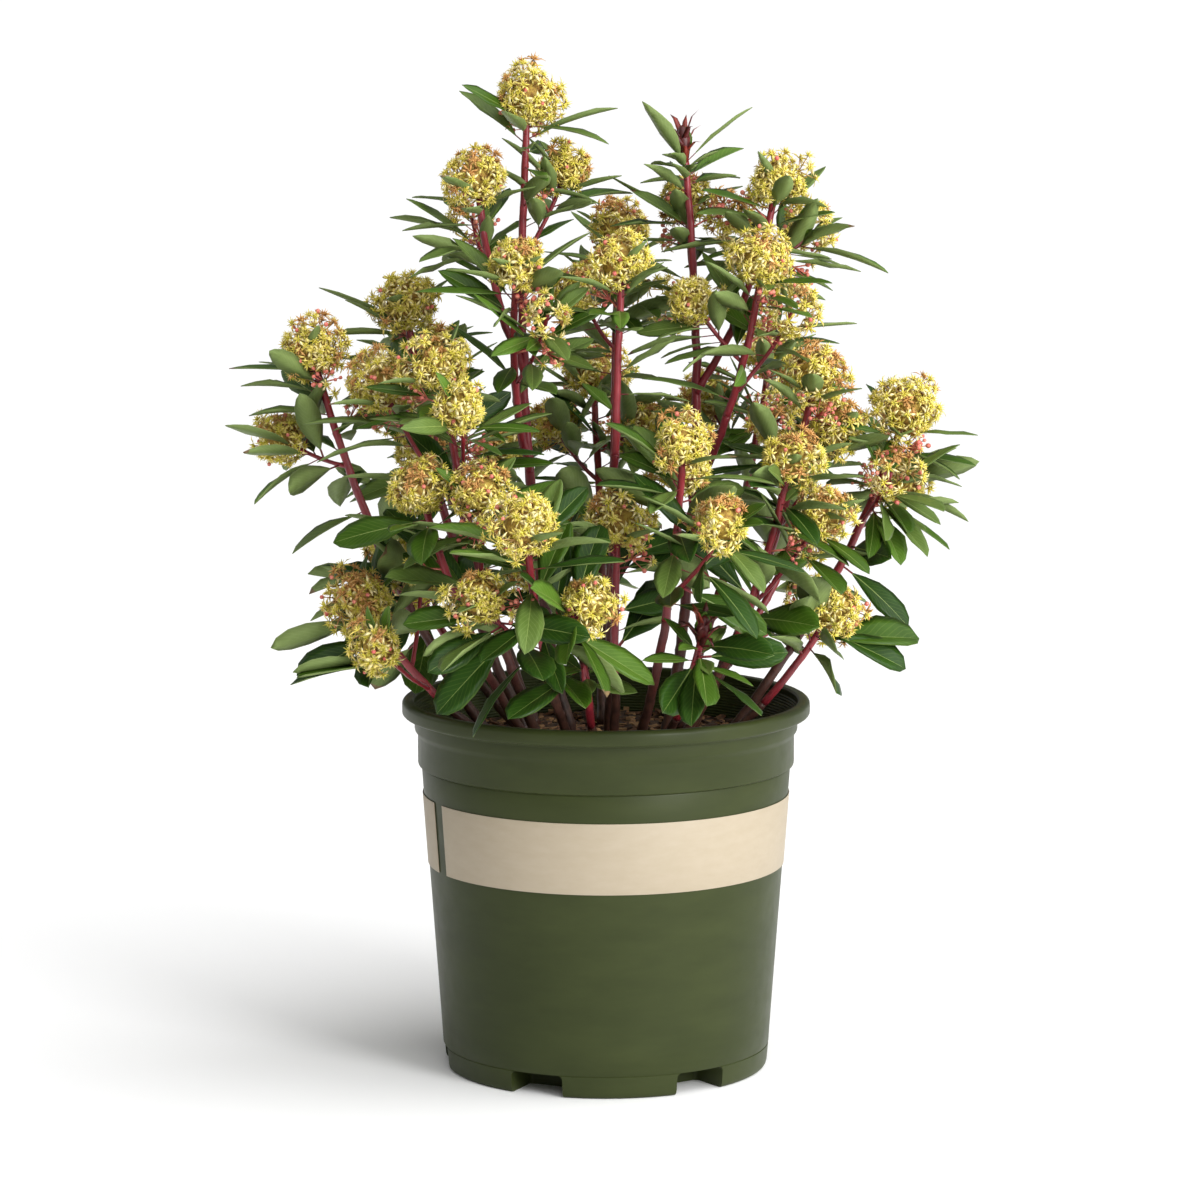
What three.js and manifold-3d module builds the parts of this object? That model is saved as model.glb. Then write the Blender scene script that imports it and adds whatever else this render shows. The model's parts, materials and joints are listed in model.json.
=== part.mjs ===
// A mountain pepper shrub in flower, growing in a round nursery pot.
// Millimetres, +Z up, +X to the viewer's right, +Y away from the viewer. The origin is the middle
// of the pot's flat underside.
import * as THREE from "three";
import { mergeVertices } from "three/addons/utils/BufferGeometryUtils.js";
import Module from "manifold-3d";

const wasm = await Module();
wasm.setup();

// Driving dimensions: the pot
const CLEARANCE = 0.3; // left between pieces that touch
const WELD = 1e-3; // corners this close are one corner
const POT_HEIGHT = 249;
const LIP_RADIUS = 136.5;
const LIP_DEPTH = 10;
const COLLAR_RADIUS = 128.2;
const COLLAR_FOOT = 227;
const NECK_RADIUS = 126;
const NECK_FOOT = 205; // where the neck steps in to the tapering wall
const WALL_TOP_RADIUS = 123.6;
const WALL_FOOT_RADIUS = 108.6;
const WALL_THICKNESS = 2.2;
const BASE_BEVEL = 2.6;
const NOTCH_COUNT = 6;
const NOTCH_WIDTH = 37;
const NOTCH_HEIGHT = 15;
const NOTCH_DEPTH = 30;
const FRONT_FOOT = 275; // bearing of the middle of the foot that faces the viewer
const DRAIN_RADIUS = 5;
const POT_SIDES = 36;

const LABEL_LOW = 138.5;
const LABEL_HIGH = 186;
const LABEL_THICKNESS = 0.5;
const LABEL_GAP_MIDDLE = 205; // bearing of the gap between the label's two ends
const LABEL_GAP_ANGLE = 7.6;

const SOIL_LEVEL = 222;
const SOIL_EDGE_DROP = 3; // the soil falls this much towards the wall
const SOIL_EDGE_WIDTH = 22;

// Driving dimensions: the wood
const FOOT_SHARE = 0.4; // a stem's foot lies at this share of its reach
const FOOT_LIMIT = 84;
const TIP_RADIUS = 1.9;
const FOOT_RADIUS = 3.1; // of the shortest stem
const GIRTH = 0.0065; // added to a foot's radius for each millimetre of stem
const ROOT_FLARE = 0.35; // of the foot's radius
const STEM_SAG = 0.07; // how far a stem's middle hangs out and down, by its length
const STEM_SWAY = 0.08;
const SIDE_STEM_SHARE = 0.8; // a side stem's radius against its parent's, where it leaves
const SIDE_SHOOT_SHARE = 0.62;
const STEM_SIDES = 5;
const STEM_STEPS = 4;
const TWIG_SIDES = 3;
const TWIG_STEPS = 2;
const LINE_STEP = 8; // between the points that stand for a shoot's middle line

// Driving dimensions: the masses of foliage
const CROWN_REACH = 253; // no leaf goes further from the pot's axis along X or Y
const CROWN_DEPTH = 125; // a mass takes up this much of the end of its stem,
const CROWN_SHARE = 0.65; // and at most this share of it
const HEAD_RADIUS = 20;
const HEAD_LUMPS = 0.1;
const HEAD_ROOM = 23.4; // kept free of other things round the middle of a head
const BUD_RADIUS = 6;
const BUD_STRETCH = 2.4;
const SPREAD = 38; // of side heads from their stem,
const DROP = 32; // and below its end
const DROP_STEP = 9; // more for each further head
const FIRST_SHOOT = 0.15; // where side shoots start, by the length of their stem's leafy end
const SHOOT_STEP = 0.2;
const SHOOT_ROOM = 8; // kept free of other masses round a side shoot
const GOLDEN_ANGLE = 137.5;

const LEAF_LENGTH = 66;
const LEAF_WIDTH = 22;
const LEAF_KEEL = 1.9; // how deep a leaf is folded along its midrib
const LEAF_SIZES = [1, 0.82, 0.66]; // tried in turn
const LEAF_TURNS = 10; // tried round the shoot
const LEAF_MARGIN = 0.5; // kept clear round a leaf
const LEAF_OVERHANG = 14; // over the border of its mass
const LEAF_ROLL = 120; // the spread of the leaves' roll about their midribs
const LEAF_DROOP = 50; // the spread of their lean from the shoot
const LEAF_WEIGHT = 0.1; // how far their headings sink
const ROSETTE_LEAVES = 5;
const ROSETTE_START = 26; // below the middle of a head
const ROSETTE_STEP = 2.2;
const ROSETTE_LEAN = 56;
const LOWER_START = 47;
const LOWER_STEP = 22;
const LOWER_LEAN = 66;
const MOST_LEAVES = 10; // on one shoot

// The stems, each named after its mass of foliage. bearing is in degrees round the pot's axis, 0 to
// the right and 270 towards the viewer. reach and height place the flower head that ends the stem.
// from names the stem that a side stem leaves, at the share at of its length; any other stem starts
// in the soil. count is the number of its shoots. The first side shoot points to turn, as bearing
// does, and its head is spread out from the stem and drop below its end.
const STEMS = {
  top: { bearing: 180, reach: 51, height: 648, foot: 24, count: 2, turn: 22, spread: 27, drop: 47 },
  upper_left: { bearing: 193, reach: 87, height: 596, from: "top", at: 0.58, count: 2, turn: 110 },
  left_shoulder: { bearing: 163, reach: 140, height: 509, count: 3, turn: 70 },
  left_outer: { bearing: 180, reach: 195, height: 482, count: 3, turn: 20, spread: 42, drop: 40 },
  left_mid: { bearing: 213, reach: 129, height: 479, count: 3, turn: 146, spread: 50, drop: 12 },
  left_low: { bearing: 223, reach: 163, height: 402, count: 2, turn: 335, spread: 43, drop: 6 },
  left_bottom: { bearing: 205, reach: 177.5, height: 326, foot: 80, count: 3, turn: 280, spread: 60, drop: 10 },
  centre_left: { bearing: 226, reach: 83, height: 543, from: "top", at: 0.42, count: 2, turn: 300, drop: 20 },
  centre: { bearing: 278, reach: 70, height: 545, foot: 26, count: 3, turn: 50, spread: 36, drop: 12 },
  centre_low: { bearing: 275, reach: 84, height: 377, foot: 60, count: 2, turn: 60 },
  bud: { bearing: 0, reach: 51, height: 621, foot: 40, count: 2, turn: 90, drop: 44, bud: true },
  right_top: { bearing: 0, reach: 113, height: 593, from: "bud", at: 0.58, count: 4, turn: 252, drop: 14 },
  right_upper: { bearing: 334, reach: 113, height: 544, from: "bud", at: 0.42, count: 3, turn: 24 },
  right_shoulder: { bearing: 349, reach: 140, height: 468, foot: 52, count: 3, turn: 29 },
  right_mid: { bearing: 326, reach: 144, height: 418, count: 2, turn: 23 },
  right_outer: { bearing: 0, reach: 200, height: 442, count: 4, turn: 140, spread: 34, drop: 30 },
  right_bottom: { bearing: 341, reach: 157, height: 316, foot: 80, count: 2, turn: 129, drop: 6 },
  front_right: { bearing: 288, reach: 157, height: 436, count: 3, turn: 307, spread: 50 },
  front_left: { bearing: 255, reach: 196, height: 389, count: 3, turn: 198, drop: 46 },
  front_low_left: { bearing: 264, reach: 150, height: 305, foot: 82, count: 2, turn: 240, bud: true },
  front_low_right: { bearing: 293, reach: 158, height: 318, foot: 82, count: 1, turn: 300, bud: true },
  back_left: { bearing: 132, reach: 180, height: 440, count: 4, turn: 100 },
  back: { bearing: 93, reach: 190, height: 450, foot: 56, count: 4, turn: 60 },
  back_right: { bearing: 50, reach: 178, height: 470, count: 4, turn: 20 },
  back_top: { bearing: 85, reach: 95, height: 555, count: 4, turn: 90 },
  back_low_left: { bearing: 150, reach: 170, height: 340, count: 3, turn: 120 },
  back_low: { bearing: 97, reach: 175, height: 335, foot: 84, count: 3, turn: 90 },
  back_low_right: { bearing: 40, reach: 172, height: 345, count: 3, turn: 45 },
};

const COLOURS = {
  pot: { color: 0x3f4a2b, roughness: 0.45, metalness: 0 },
  label: { color: 0xd6c8ad, roughness: 0.6, metalness: 0 },
  soil: { color: 0x3a2a1c, roughness: 0.95, metalness: 0 },
  stem: { color: 0x7a2433, roughness: 0.6, metalness: 0 },
  foliage: { color: 0x3c6133, roughness: 0.5, metalness: 0 },
};

const radians = THREE.MathUtils.degToRad;
const lerp = THREE.MathUtils.lerp;
const vector = (x, y, z) => new THREE.Vector3(x, y, z);

function polar(bearing, reach, height) {
  return vector(reach * Math.cos(radians(bearing)), reach * Math.sin(radians(bearing)), height);
}

// A repeatable stream of numbers from 0 to 1.
function seeded(seed) {
  let state = seed >>> 0;
  return () => {
    state = (state + 0x6d2b79f5) >>> 0;
    let mixed = Math.imul(state ^ (state >>> 15), state | 1);
    mixed ^= mixed + Math.imul(mixed ^ (mixed >>> 7), mixed | 61);
    return ((mixed ^ (mixed >>> 14)) >>> 0) / 4294967296;
  };
}

// Solids: a closed geometry becomes a solid that can be joined and cut, and back.
function solidOf(geometry) {
  const bare = geometry.clone();
  bare.deleteAttribute("normal");
  bare.deleteAttribute("uv");
  const merged = mergeVertices(bare, WELD);
  const corners = merged.index.array;
  const faces = [];
  for (let i = 0; i < corners.length; i += 3) {
    const [a, b, c] = corners.subarray(i, i + 3);
    if (a !== b && b !== c && c !== a) faces.push(a, b, c);
  }
  return new wasm.Manifold(
    new wasm.Mesh({
      numProp: 3,
      vertProperties: new Float32Array(merged.attributes.position.array),
      triVerts: new Uint32Array(faces),
    }),
  );
}

// The largest body of a joined solid, with any hollow that the joining sealed filled.
function oneBody(solid) {
  const bodies = solidOf(geometryOf(solid)).decompose();
  return bodies.reduce((best, body) => (body.volume() > best.volume() ? body : best));
}

function geometryOf(solid) {
  const mesh = solid.getMesh();
  const geometry = new THREE.BufferGeometry();
  geometry.setAttribute("position", new THREE.BufferAttribute(mesh.vertProperties, 3));
  geometry.setIndex(new THREE.BufferAttribute(mesh.triVerts, 1));
  geometry.computeVertexNormals();
  return geometry;
}

function piece(name, solid, look) {
  const mesh = new THREE.Mesh(geometryOf(solid), new THREE.MeshStandardMaterial(look));
  mesh.name = name;
  return mesh;
}

// The pot: a turned shell whose flat base has a ring of drainage notches.
function turned(profile) {
  const points = profile.map(([radius, height]) => new THREE.Vector2(radius, height));
  return solidOf(new THREE.LatheGeometry(points, POT_SIDES).rotateX(Math.PI / 2));
}

function wallRadius(height) {
  return lerp(WALL_FOOT_RADIUS, WALL_TOP_RADIUS, height / NECK_FOOT);
}

function potOutline() {
  const lipFoot = POT_HEIGHT - LIP_DEPTH;
  return [
    [0, 0],
    [wallRadius(0) - BASE_BEVEL, 0],
    [wallRadius(BASE_BEVEL), BASE_BEVEL],
    [wallRadius(NECK_FOOT - 1.5), NECK_FOOT - 1.5],
    [NECK_RADIUS - 0.4, NECK_FOOT + 1],
    [NECK_RADIUS, COLLAR_FOOT - 2],
    [COLLAR_RADIUS, COLLAR_FOOT + 2],
    [COLLAR_RADIUS, lipFoot - 3],
    [LIP_RADIUS - 1.2, lipFoot - 0.6],
    [LIP_RADIUS, lipFoot + 0.6],
    [LIP_RADIUS, POT_HEIGHT - 3],
    [LIP_RADIUS - 1, POT_HEIGHT - 1],
    [LIP_RADIUS - 3.6, POT_HEIGHT],
    [COLLAR_RADIUS + 0.3, POT_HEIGHT - 0.6],
    [0, POT_HEIGHT - 0.6],
  ];
}

// The inside of the wall, at a height between the floor and the collar.
function insideRadius(height) {
  const bend = NECK_FOOT - WALL_THICKNESS;
  const share = Math.max(height - bend, 0) / (COLLAR_FOOT - bend);
  return lerp(wallRadius(Math.min(height, bend)), NECK_RADIUS, share) - WALL_THICKNESS;
}

function cavityOutline() {
  return [
    [0, WALL_THICKNESS],
    [insideRadius(WALL_THICKNESS), WALL_THICKNESS],
    [insideRadius(NECK_FOOT - WALL_THICKNESS), NECK_FOOT - WALL_THICKNESS],
    [insideRadius(COLLAR_FOOT), COLLAR_FOOT],
    [COLLAR_RADIUS, POT_HEIGHT - LIP_DEPTH + 3],
    [COLLAR_RADIUS, POT_HEIGHT + 5],
    [0, POT_HEIGHT + 5],
  ];
}

function soilOutline() {
  const floor = WALL_THICKNESS + CLEARANCE;
  const shoulder = SOIL_LEVEL - SOIL_EDGE_DROP;
  return [
    [0, floor],
    [insideRadius(floor) - CLEARANCE, floor],
    [insideRadius(NECK_FOOT - WALL_THICKNESS) - CLEARANCE, NECK_FOOT - WALL_THICKNESS],
    [insideRadius(shoulder) - CLEARANCE, shoulder],
    [insideRadius(shoulder) - SOIL_EDGE_WIDTH, SOIL_LEVEL],
    [0, SOIL_LEVEL],
  ];
}

// The same solid at each notch, made by a function that leaves it at bearing 0.
function atNotches(make) {
  const solids = [];
  for (let k = 0; k < NOTCH_COUNT; k++) {
    const bearing = FRONT_FOOT + (360 / NOTCH_COUNT) * (k + 0.5);
    solids.push(solidOf(make().rotateZ(radians(bearing))));
  }
  return wasm.Manifold.union(solids);
}

// A block over a notch, grown by the given margin on every side.
function notchBlock(margin) {
  const length = 2 * NOTCH_DEPTH + margin;
  const block = new THREE.BoxGeometry(length, NOTCH_WIDTH + 2 * margin, 2 * (NOTCH_HEIGHT + margin));
  return block.translate(WALL_FOOT_RADIUS - NOTCH_DEPTH - margin + length / 2, 0, 0);
}

function drainHole() {
  const hole = new THREE.CylinderGeometry(DRAIN_RADIUS, DRAIN_RADIUS, 4 * WALL_THICKNESS, 8);
  return hole.rotateX(Math.PI / 2).translate(WALL_FOOT_RADIUS - NOTCH_DEPTH / 2, 0, NOTCH_HEIGHT);
}

function makePot() {
  const outside = turned(potOutline());
  const shell = outside.subtract(turned(cavityOutline()));
  const covers = atNotches(() => notchBlock(WALL_THICKNESS)).intersect(outside);
  return shell.add(covers).subtract(atNotches(() => notchBlock(0))).subtract(atNotches(drainHole));
}

function makeSoil() {
  return turned(soilOutline()).subtract(atNotches(() => notchBlock(WALL_THICKNESS + CLEARANCE)));
}

// The label: a thin sleeve round the wall, whose two ends leave a narrow gap.
function makeLabel() {
  const inner = CLEARANCE;
  const outer = CLEARANCE + LABEL_THICKNESS;
  const sleeve = turned([
    [wallRadius(LABEL_LOW) + inner, LABEL_LOW],
    [wallRadius(LABEL_LOW) + outer, LABEL_LOW],
    [wallRadius(LABEL_HIGH) + outer, LABEL_HIGH],
    [wallRadius(LABEL_HIGH) + inner, LABEL_HIGH],
    [wallRadius(LABEL_LOW) + inner, LABEL_LOW],
  ]);
  const width = 2 * LIP_RADIUS * Math.sin(radians(LABEL_GAP_ANGLE / 2));
  const slot = new THREE.BoxGeometry(LIP_RADIUS, width, LABEL_HIGH);
  slot.translate(WALL_FOOT_RADIUS, 0, LABEL_HIGH).rotateZ(radians(LABEL_GAP_MIDDLE));
  return sleeve.subtract(solidOf(slot));
}

// Wood: a tapering cylinder bent along a curve. A stem's foot is cut flat at a level.
function strand(curve, from, to, radius, sides, steps, footLevel = null) {
  const geometry = new THREE.CylinderGeometry(1, 1, 1, sides, steps);
  const spots = geometry.attributes.position;
  for (let i = 0; i < spots.count; i++) {
    const share = spots.getY(i) + 0.5;
    const along = lerp(from, to, share);
    const middle = curve.getPointAt(along);
    const heading = curve.getTangentAt(along);
    const side = vector(1, 0, 0).addScaledVector(heading, -heading.x).normalize();
    const other = heading.clone().cross(side);
    const wide = radius(share);
    middle.addScaledVector(side, spots.getX(i) * wide).addScaledVector(other, -spots.getZ(i) * wide);
    if (share === 0 && footLevel !== null) {
      middle.addScaledVector(heading, (footLevel - middle.z) / heading.z);
    }
    spots.setXYZ(i, middle.x, middle.y, middle.z);
  }
  return geometry;
}

// Points down the middle of a shoot, each with the room that the shoot takes there.
function pointsAlong(shoot) {
  const length = shoot.curve.getLength() * (shoot.to - shoot.from);
  const count = Math.ceil(length / LINE_STEP);
  return Array.from({ length: count + 1 }, (_, k) => {
    const along = lerp(shoot.from, shoot.to, k / count);
    return { spot: shoot.curve.getPointAt(along), radius: shoot.radius(along) };
  });
}

function planStems() {
  const plans = new Map();
  Object.entries(STEMS).forEach(([name, stem], index) => {
    const draw = seeded(1000 + index);
    const tip = polar(stem.bearing, stem.reach, stem.height);
    const parent = plans.get(stem.from);
    const footReach = stem.foot ?? Math.min(stem.reach * FOOT_SHARE, FOOT_LIMIT);
    const foot = parent
      ? parent.curve.getPointAt(stem.at)
      : polar(stem.bearing, footReach, SOIL_LEVEL + CLEARANCE);
    const length = foot.distanceTo(tip);
    const outward = polar(stem.bearing, 1, 0);
    const middle = foot.clone().lerp(tip, 0.5);
    middle.addScaledVector(outward, STEM_SAG * length);
    middle.z -= STEM_SAG * length;
    middle.addScaledVector(outward.clone().cross(vector(0, 0, 1)), (draw() - 0.5) * STEM_SWAY * length);
    const curve = new THREE.QuadraticBezierCurve3(foot, middle, tip);
    const total = curve.getLength();
    const footRadius = parent ? parent.radiusAt(stem.at) * SIDE_STEM_SHARE : FOOT_RADIUS + GIRTH * total;
    const split = 1 - Math.min(CROWN_DEPTH / total, CROWN_SHARE);
    plans.set(name, {
      ...stem,
      name,
      index,
      tip,
      curve,
      total,
      split,
      parent,
      outward,
      radiusAt: (along) => lerp(footRadius, TIP_RADIUS, along),
      shoots: [],
      heads: [],
      leaves: [],
      line: [],
    });
  });
  const wood = [...plans.values()].flatMap((plan) =>
    pointsAlong({ curve: plan.curve, from: 0, to: plan.split, radius: plan.radiusAt }),
  );
  for (const plan of plans.values()) {
    addShoot(plan, { curve: plan.curve, from: plan.split, to: 1, radius: plan.radiusAt, bud: plan.bud });
  }
  for (const plan of plans.values()) planSideShoots(plan, plans, wood);
  return { plans, wood };
}

function makeStem(plan, extra) {
  const end = plan.split - CLEARANCE / plan.total;
  const flare = (share) => (plan.parent ? 1 : 1 + ROOT_FLARE * Math.exp(-12 * share));
  const radius = (share) => plan.radiusAt(share * end) * flare(share) + extra;
  const footLevel = plan.parent ? null : SOIL_LEVEL + CLEARANCE;
  return solidOf(strand(plan.curve, 0, end, radius, STEM_SIDES, STEM_STEPS, footLevel));
}

function addShoot(plan, shoot) {
  plan.shoots.push(shoot);
  plan.line.push(...pointsAlong(shoot));
  if (shoot.bud) return;
  const head = { spot: shoot.curve.getPointAt(1), radius: HEAD_RADIUS * (1 + HEAD_LUMPS) };
  plan.heads.push(head);
  plan.line.push(head);
}

// How far a spot lies from the nearest surface of a line's wood and flower heads.
const roomTo = (line, spot) => Math.min(...line.map((point) => point.spot.distanceTo(spot) - point.radius));

// A mass keeps to the points that are nearer to its own shoots and heads than to any other's, and
// its leaves overhang that border only a little.
function insideSpace(spot, plan, plans) {
  const limit = roomTo(plan.line, spot) - LEAF_OVERHANG;
  return [...plans.values()].every((other) => other === plan || roomTo(other.line, spot) > limit);
}

function clearOfPot(spot, margin) {
  const radius = Math.hypot(spot.x, spot.y);
  if (spot.z > POT_HEIGHT + margin) return true;
  if (radius > LIP_RADIUS + margin) return true;
  return radius < NECK_RADIUS - WALL_THICKNESS - margin && spot.z > SOIL_LEVEL + margin;
}

// Side shoots leave the stem's own end, turned round it by the golden angle. One that comes too near
// to wood, heads or other masses is drawn in, then left out.
function planSideShoots(plan, plans, wood) {
  const { curve, split } = plan;
  const others = [...plans.values()].filter((other) => other !== plan).flatMap((other) => other.line);
  for (let k = 0; k < plan.count - 1; k++) {
    const turn = radians((plan.turn ?? 0) + k * GOLDEN_ANGLE);
    const leave = lerp(split, 1, FIRST_SHOOT + SHOOT_STEP * k);
    const start = curve.getPointAt(leave);
    const heading = curve.getTangentAt(leave);
    const right = vector(1, 0, 0).addScaledVector(heading, -heading.x).normalize();
    const back = heading.clone().cross(right);
    const aside = right.multiplyScalar(Math.cos(turn)).addScaledVector(back, Math.sin(turn));
    for (let shrink = 1; shrink > 0.5; shrink -= 0.1) {
      const spread = (plan.spread ?? SPREAD) * shrink;
      const drop = (plan.drop ?? DROP) + DROP_STEP * k;
      const end = plan.tip.clone().addScaledVector(heading, -drop).addScaledVector(aside, spread);
      const bend = start.clone().lerp(end, 0.45).addScaledVector(aside, 0.22 * spread);
      const path = new THREE.QuadraticBezierCurve3(start, bend, end);
      const inner = [0.4, 0.6, 0.8].map((share) => path.getPointAt(share));
      const fits =
        clearOfPot(end, HEAD_ROOM) &&
        Math.max(Math.abs(end.x), Math.abs(end.y)) < CROWN_REACH - HEAD_ROOM &&
        roomTo(wood, end) > HEAD_ROOM &&
        roomTo(others, end) > HEAD_ROOM &&
        plan.heads.every((head) => head.spot.distanceTo(end) > 1.9 * HEAD_RADIUS) &&
        inner.every((spot) => roomTo([...wood, ...others], spot) > SHOOT_ROOM);
      if (!fits) continue;
      const wide = plan.radiusAt(leave) * SIDE_SHOOT_SHARE;
      const shoot = { curve: path, from: 0, to: 1, radius: (along) => lerp(wide, TIP_RADIUS * 0.8, along) };
      addShoot(plan, shoot);
      break;
    }
  }
}

// A leaf's eight faces: a keel from root to tip, and a flat top between its four side corners.
const LEAF_STATIONS = [
  { along: 0.28, half: 0.42, lift: 0.9 },
  { along: 0.64, half: 1, lift: 1 },
];
const LEAF_FACES = [
  [0, 5, 1], [1, 5, 2], [0, 3, 5], [3, 4, 5], [0, 1, 3], [1, 4, 3], [1, 2, 4], [2, 5, 4],
];

// swell grows the leaf on every side.
function leafCorners(leaf, swell) {
  const side = leaf.up.clone().cross(leaf.heading);
  const corner = (along, half, lift) =>
    leaf.root
      .clone()
      .addScaledVector(leaf.heading, along * (leaf.length + swell))
      .addScaledVector(side, half * (leaf.width / 2 + swell))
      .addScaledVector(leaf.up, lift * (LEAF_KEEL + 2 * swell) - swell);
  const left = LEAF_STATIONS.map(({ along, half, lift }) => corner(along, -half, lift));
  const right = LEAF_STATIONS.map(({ along, half, lift }) => corner(along, half, lift));
  return [corner(0, 0, 0), ...left, ...right, corner(1, 0, 0)];
}

function leafSolid(leaf, swell = 0) {
  const geometry = new THREE.BufferGeometry();
  const spots = leafCorners(leaf, swell).flatMap((corner) => corner.toArray());
  geometry.setAttribute("position", new THREE.BufferAttribute(new Float32Array(spots), 3));
  geometry.setIndex(LEAF_FACES.flat());
  return solidOf(geometry);
}

// Something that leaves keep clear of.
function obstacle(solid) {
  const { min, max } = solid.boundingBox();
  return { solid, box: new THREE.Box3(vector(...min), vector(...max)) };
}

function touches(solid, obstacles, own) {
  const { box } = obstacle(solid);
  return obstacles.some(
    (other) => other !== own && other.box.intersectsBox(box) && solid.intersect(other.solid).volume() > 0,
  );
}

// Leaves stand round a shoot by the golden angle: a rosette under its head, then fewer down the wood.
// One that doesn't fit is turned, then shortened, then left out.
function placeLeaf(shoot, k, plan, plans, obstacles) {
  const { curve, from, to } = shoot;
  const draw = seeded(shoot.seed + k);
  const rosette = k < ROSETTE_LEAVES;
  const back = rosette ? ROSETTE_START + ROSETTE_STEP * k : LOWER_START + LOWER_STEP * (k - ROSETTE_LEAVES);
  const along = to - back / curve.getLength();
  if (along < from + TIP_RADIUS / curve.getLength()) return;
  const middle = curve.getPointAt(along);
  const axis = curve.getTangentAt(along);
  const right = vector(1, 0, 0).addScaledVector(axis, -axis.x).normalize();
  const behind = axis.clone().cross(right);
  const steep = rosette ? ROSETTE_LEAN + 3 * k : LOWER_LEAN;
  const size = 0.88 + 0.24 * draw();
  const roll = radians(LEAF_ROLL * (draw() - 0.5));
  const outward = THREE.MathUtils.radToDeg(Math.atan2(plan.outward.dot(behind), plan.outward.dot(right)));
  const base = outward + GOLDEN_ANGLE * k + 40 * (draw() - 0.5);
  for (let tries = 0; tries < LEAF_SIZES.length * LEAF_TURNS; tries++) {
    const turn = radians(base + (360 / LEAF_TURNS) * (tries % LEAF_TURNS));
    const scale = size * LEAF_SIZES[Math.floor(tries / LEAF_TURNS)];
    const lean = radians(steep + LEAF_DROOP * (draw() - 0.25));
    const out = right.clone().multiplyScalar(Math.cos(turn)).addScaledVector(behind, Math.sin(turn));
    const heading = axis.clone().multiplyScalar(Math.cos(lean)).addScaledVector(out, Math.sin(lean));
    heading.z -= LEAF_WEIGHT;
    heading.normalize();
    const up = axis.clone().addScaledVector(heading, -axis.dot(heading)).normalize();
    up.applyAxisAngle(heading, roll);
    const leaf = { root: middle, heading, up, length: LEAF_LENGTH * scale, width: LEAF_WIDTH * scale };
    if (!leafFits(leaf, shoot, plan, plans, obstacles)) continue;
    const solid = leafSolid(leaf);
    obstacles.push(obstacle(solid));
    plan.leaves.push({ root: middle, solid });
    return;
  }
}

function leafFits(leaf, shoot, plan, plans, obstacles) {
  const spots = leafCorners(leaf, 0).slice(1);
  if (!spots.every((spot) => Math.max(Math.abs(spot.x), Math.abs(spot.y)) < CROWN_REACH)) return false;
  if (!spots.every((spot) => clearOfPot(spot, 2))) return false;
  if (!spots.every((spot) => insideSpace(spot, plan, plans))) return false;
  return !touches(leafSolid(leaf, LEAF_MARGIN), obstacles, shoot.obstacle);
}

// A flower head is a lumpy ball; a bud is a small pointed one.
function headSolid(middle, seed) {
  const draw = seeded(seed);
  const ball = bareBall(new THREE.IcosahedronGeometry(HEAD_RADIUS, 0));
  const spots = ball.attributes.position;
  for (let i = 0; i < spots.count; i++) {
    const spot = vector().fromBufferAttribute(spots, i);
    spot.multiplyScalar(1 + HEAD_LUMPS * (draw() * 1.6 - 0.6)).add(middle);
    spots.setXYZ(i, spot.x, spot.y, spot.z);
  }
  return solidOf(ball);
}

function bareBall(ball) {
  ball.deleteAttribute("normal");
  ball.deleteAttribute("uv");
  return mergeVertices(ball, WELD);
}

function budSolid(middle, heading) {
  const bud = bareBall(new THREE.OctahedronGeometry(BUD_RADIUS, 0)).scale(1, 1, BUD_STRETCH);
  bud.applyQuaternion(new THREE.Quaternion().setFromUnitVectors(vector(0, 0, 1), heading));
  return solidOf(bud.translate(middle.x, middle.y, middle.z));
}

// The middle of an edge where a solid touches itself, which a thin joint between leaf and twig can
// leave.
function pinchedSpot(solid) {
  const { vertProperties, triVerts } = solid.getMesh();
  const corner = (i) => vector().fromArray(vertProperties, 3 * i);
  const edges = new Map();
  for (let i = 0; i < triVerts.length; i++) {
    const next = i % 3 === 2 ? i - 2 : i + 1;
    const ends = [corner(triVerts[i]), corner(triVerts[next])];
    const key = ends.map((end) => end.toArray().join()).sort().join();
    const edge = edges.get(key) ?? { uses: 0, spot: ends[0].clone().lerp(ends[1], 0.5) };
    edge.uses += 1;
    edges.set(key, edge);
  }
  return [...edges.values()].find((edge) => edge.uses !== 2)?.spot;
}

// A mass is its shoots and leaves joined, without the leaves that don't join them cleanly.
function makeMass(plan) {
  let leaves = plan.leaves;
  for (;;) {
    const solid = oneBody(wasm.Manifold.union([...plan.solids, ...leaves.map((leaf) => leaf.solid)]));
    const spot = pinchedSpot(solid);
    if (!spot || !leaves.length) return solid;
    const worst = Math.min(...leaves.map((leaf) => leaf.root.distanceTo(spot)));
    leaves = leaves.filter((leaf) => leaf.root.distanceTo(spot) > worst);
  }
}

function makeShoot(shoot, main, seed) {
  const span = shoot.to - shoot.from;
  const radius = (share) => shoot.radius(shoot.from + span * share);
  const sides = main ? TWIG_SIDES + 1 : TWIG_SIDES;
  const end = shoot.curve.getPointAt(1);
  shoot.seed = seed;
  shoot.obstacle = obstacle(solidOf(strand(shoot.curve, shoot.from, shoot.to, radius, sides, TWIG_STEPS)));
  const tip = shoot.bud ? budSolid(end, shoot.curve.getTangentAt(1)) : headSolid(end, seed);
  return [shoot.obstacle, obstacle(tip)];
}

const plant = new THREE.Group();
const pot = makePot();
const soil = makeSoil();
plant.add(piece("pot", pot, COLOURS.pot));
plant.add(piece("label", makeLabel(), COLOURS.label));
plant.add(piece("soil", soil, COLOURS.soil));

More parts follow.
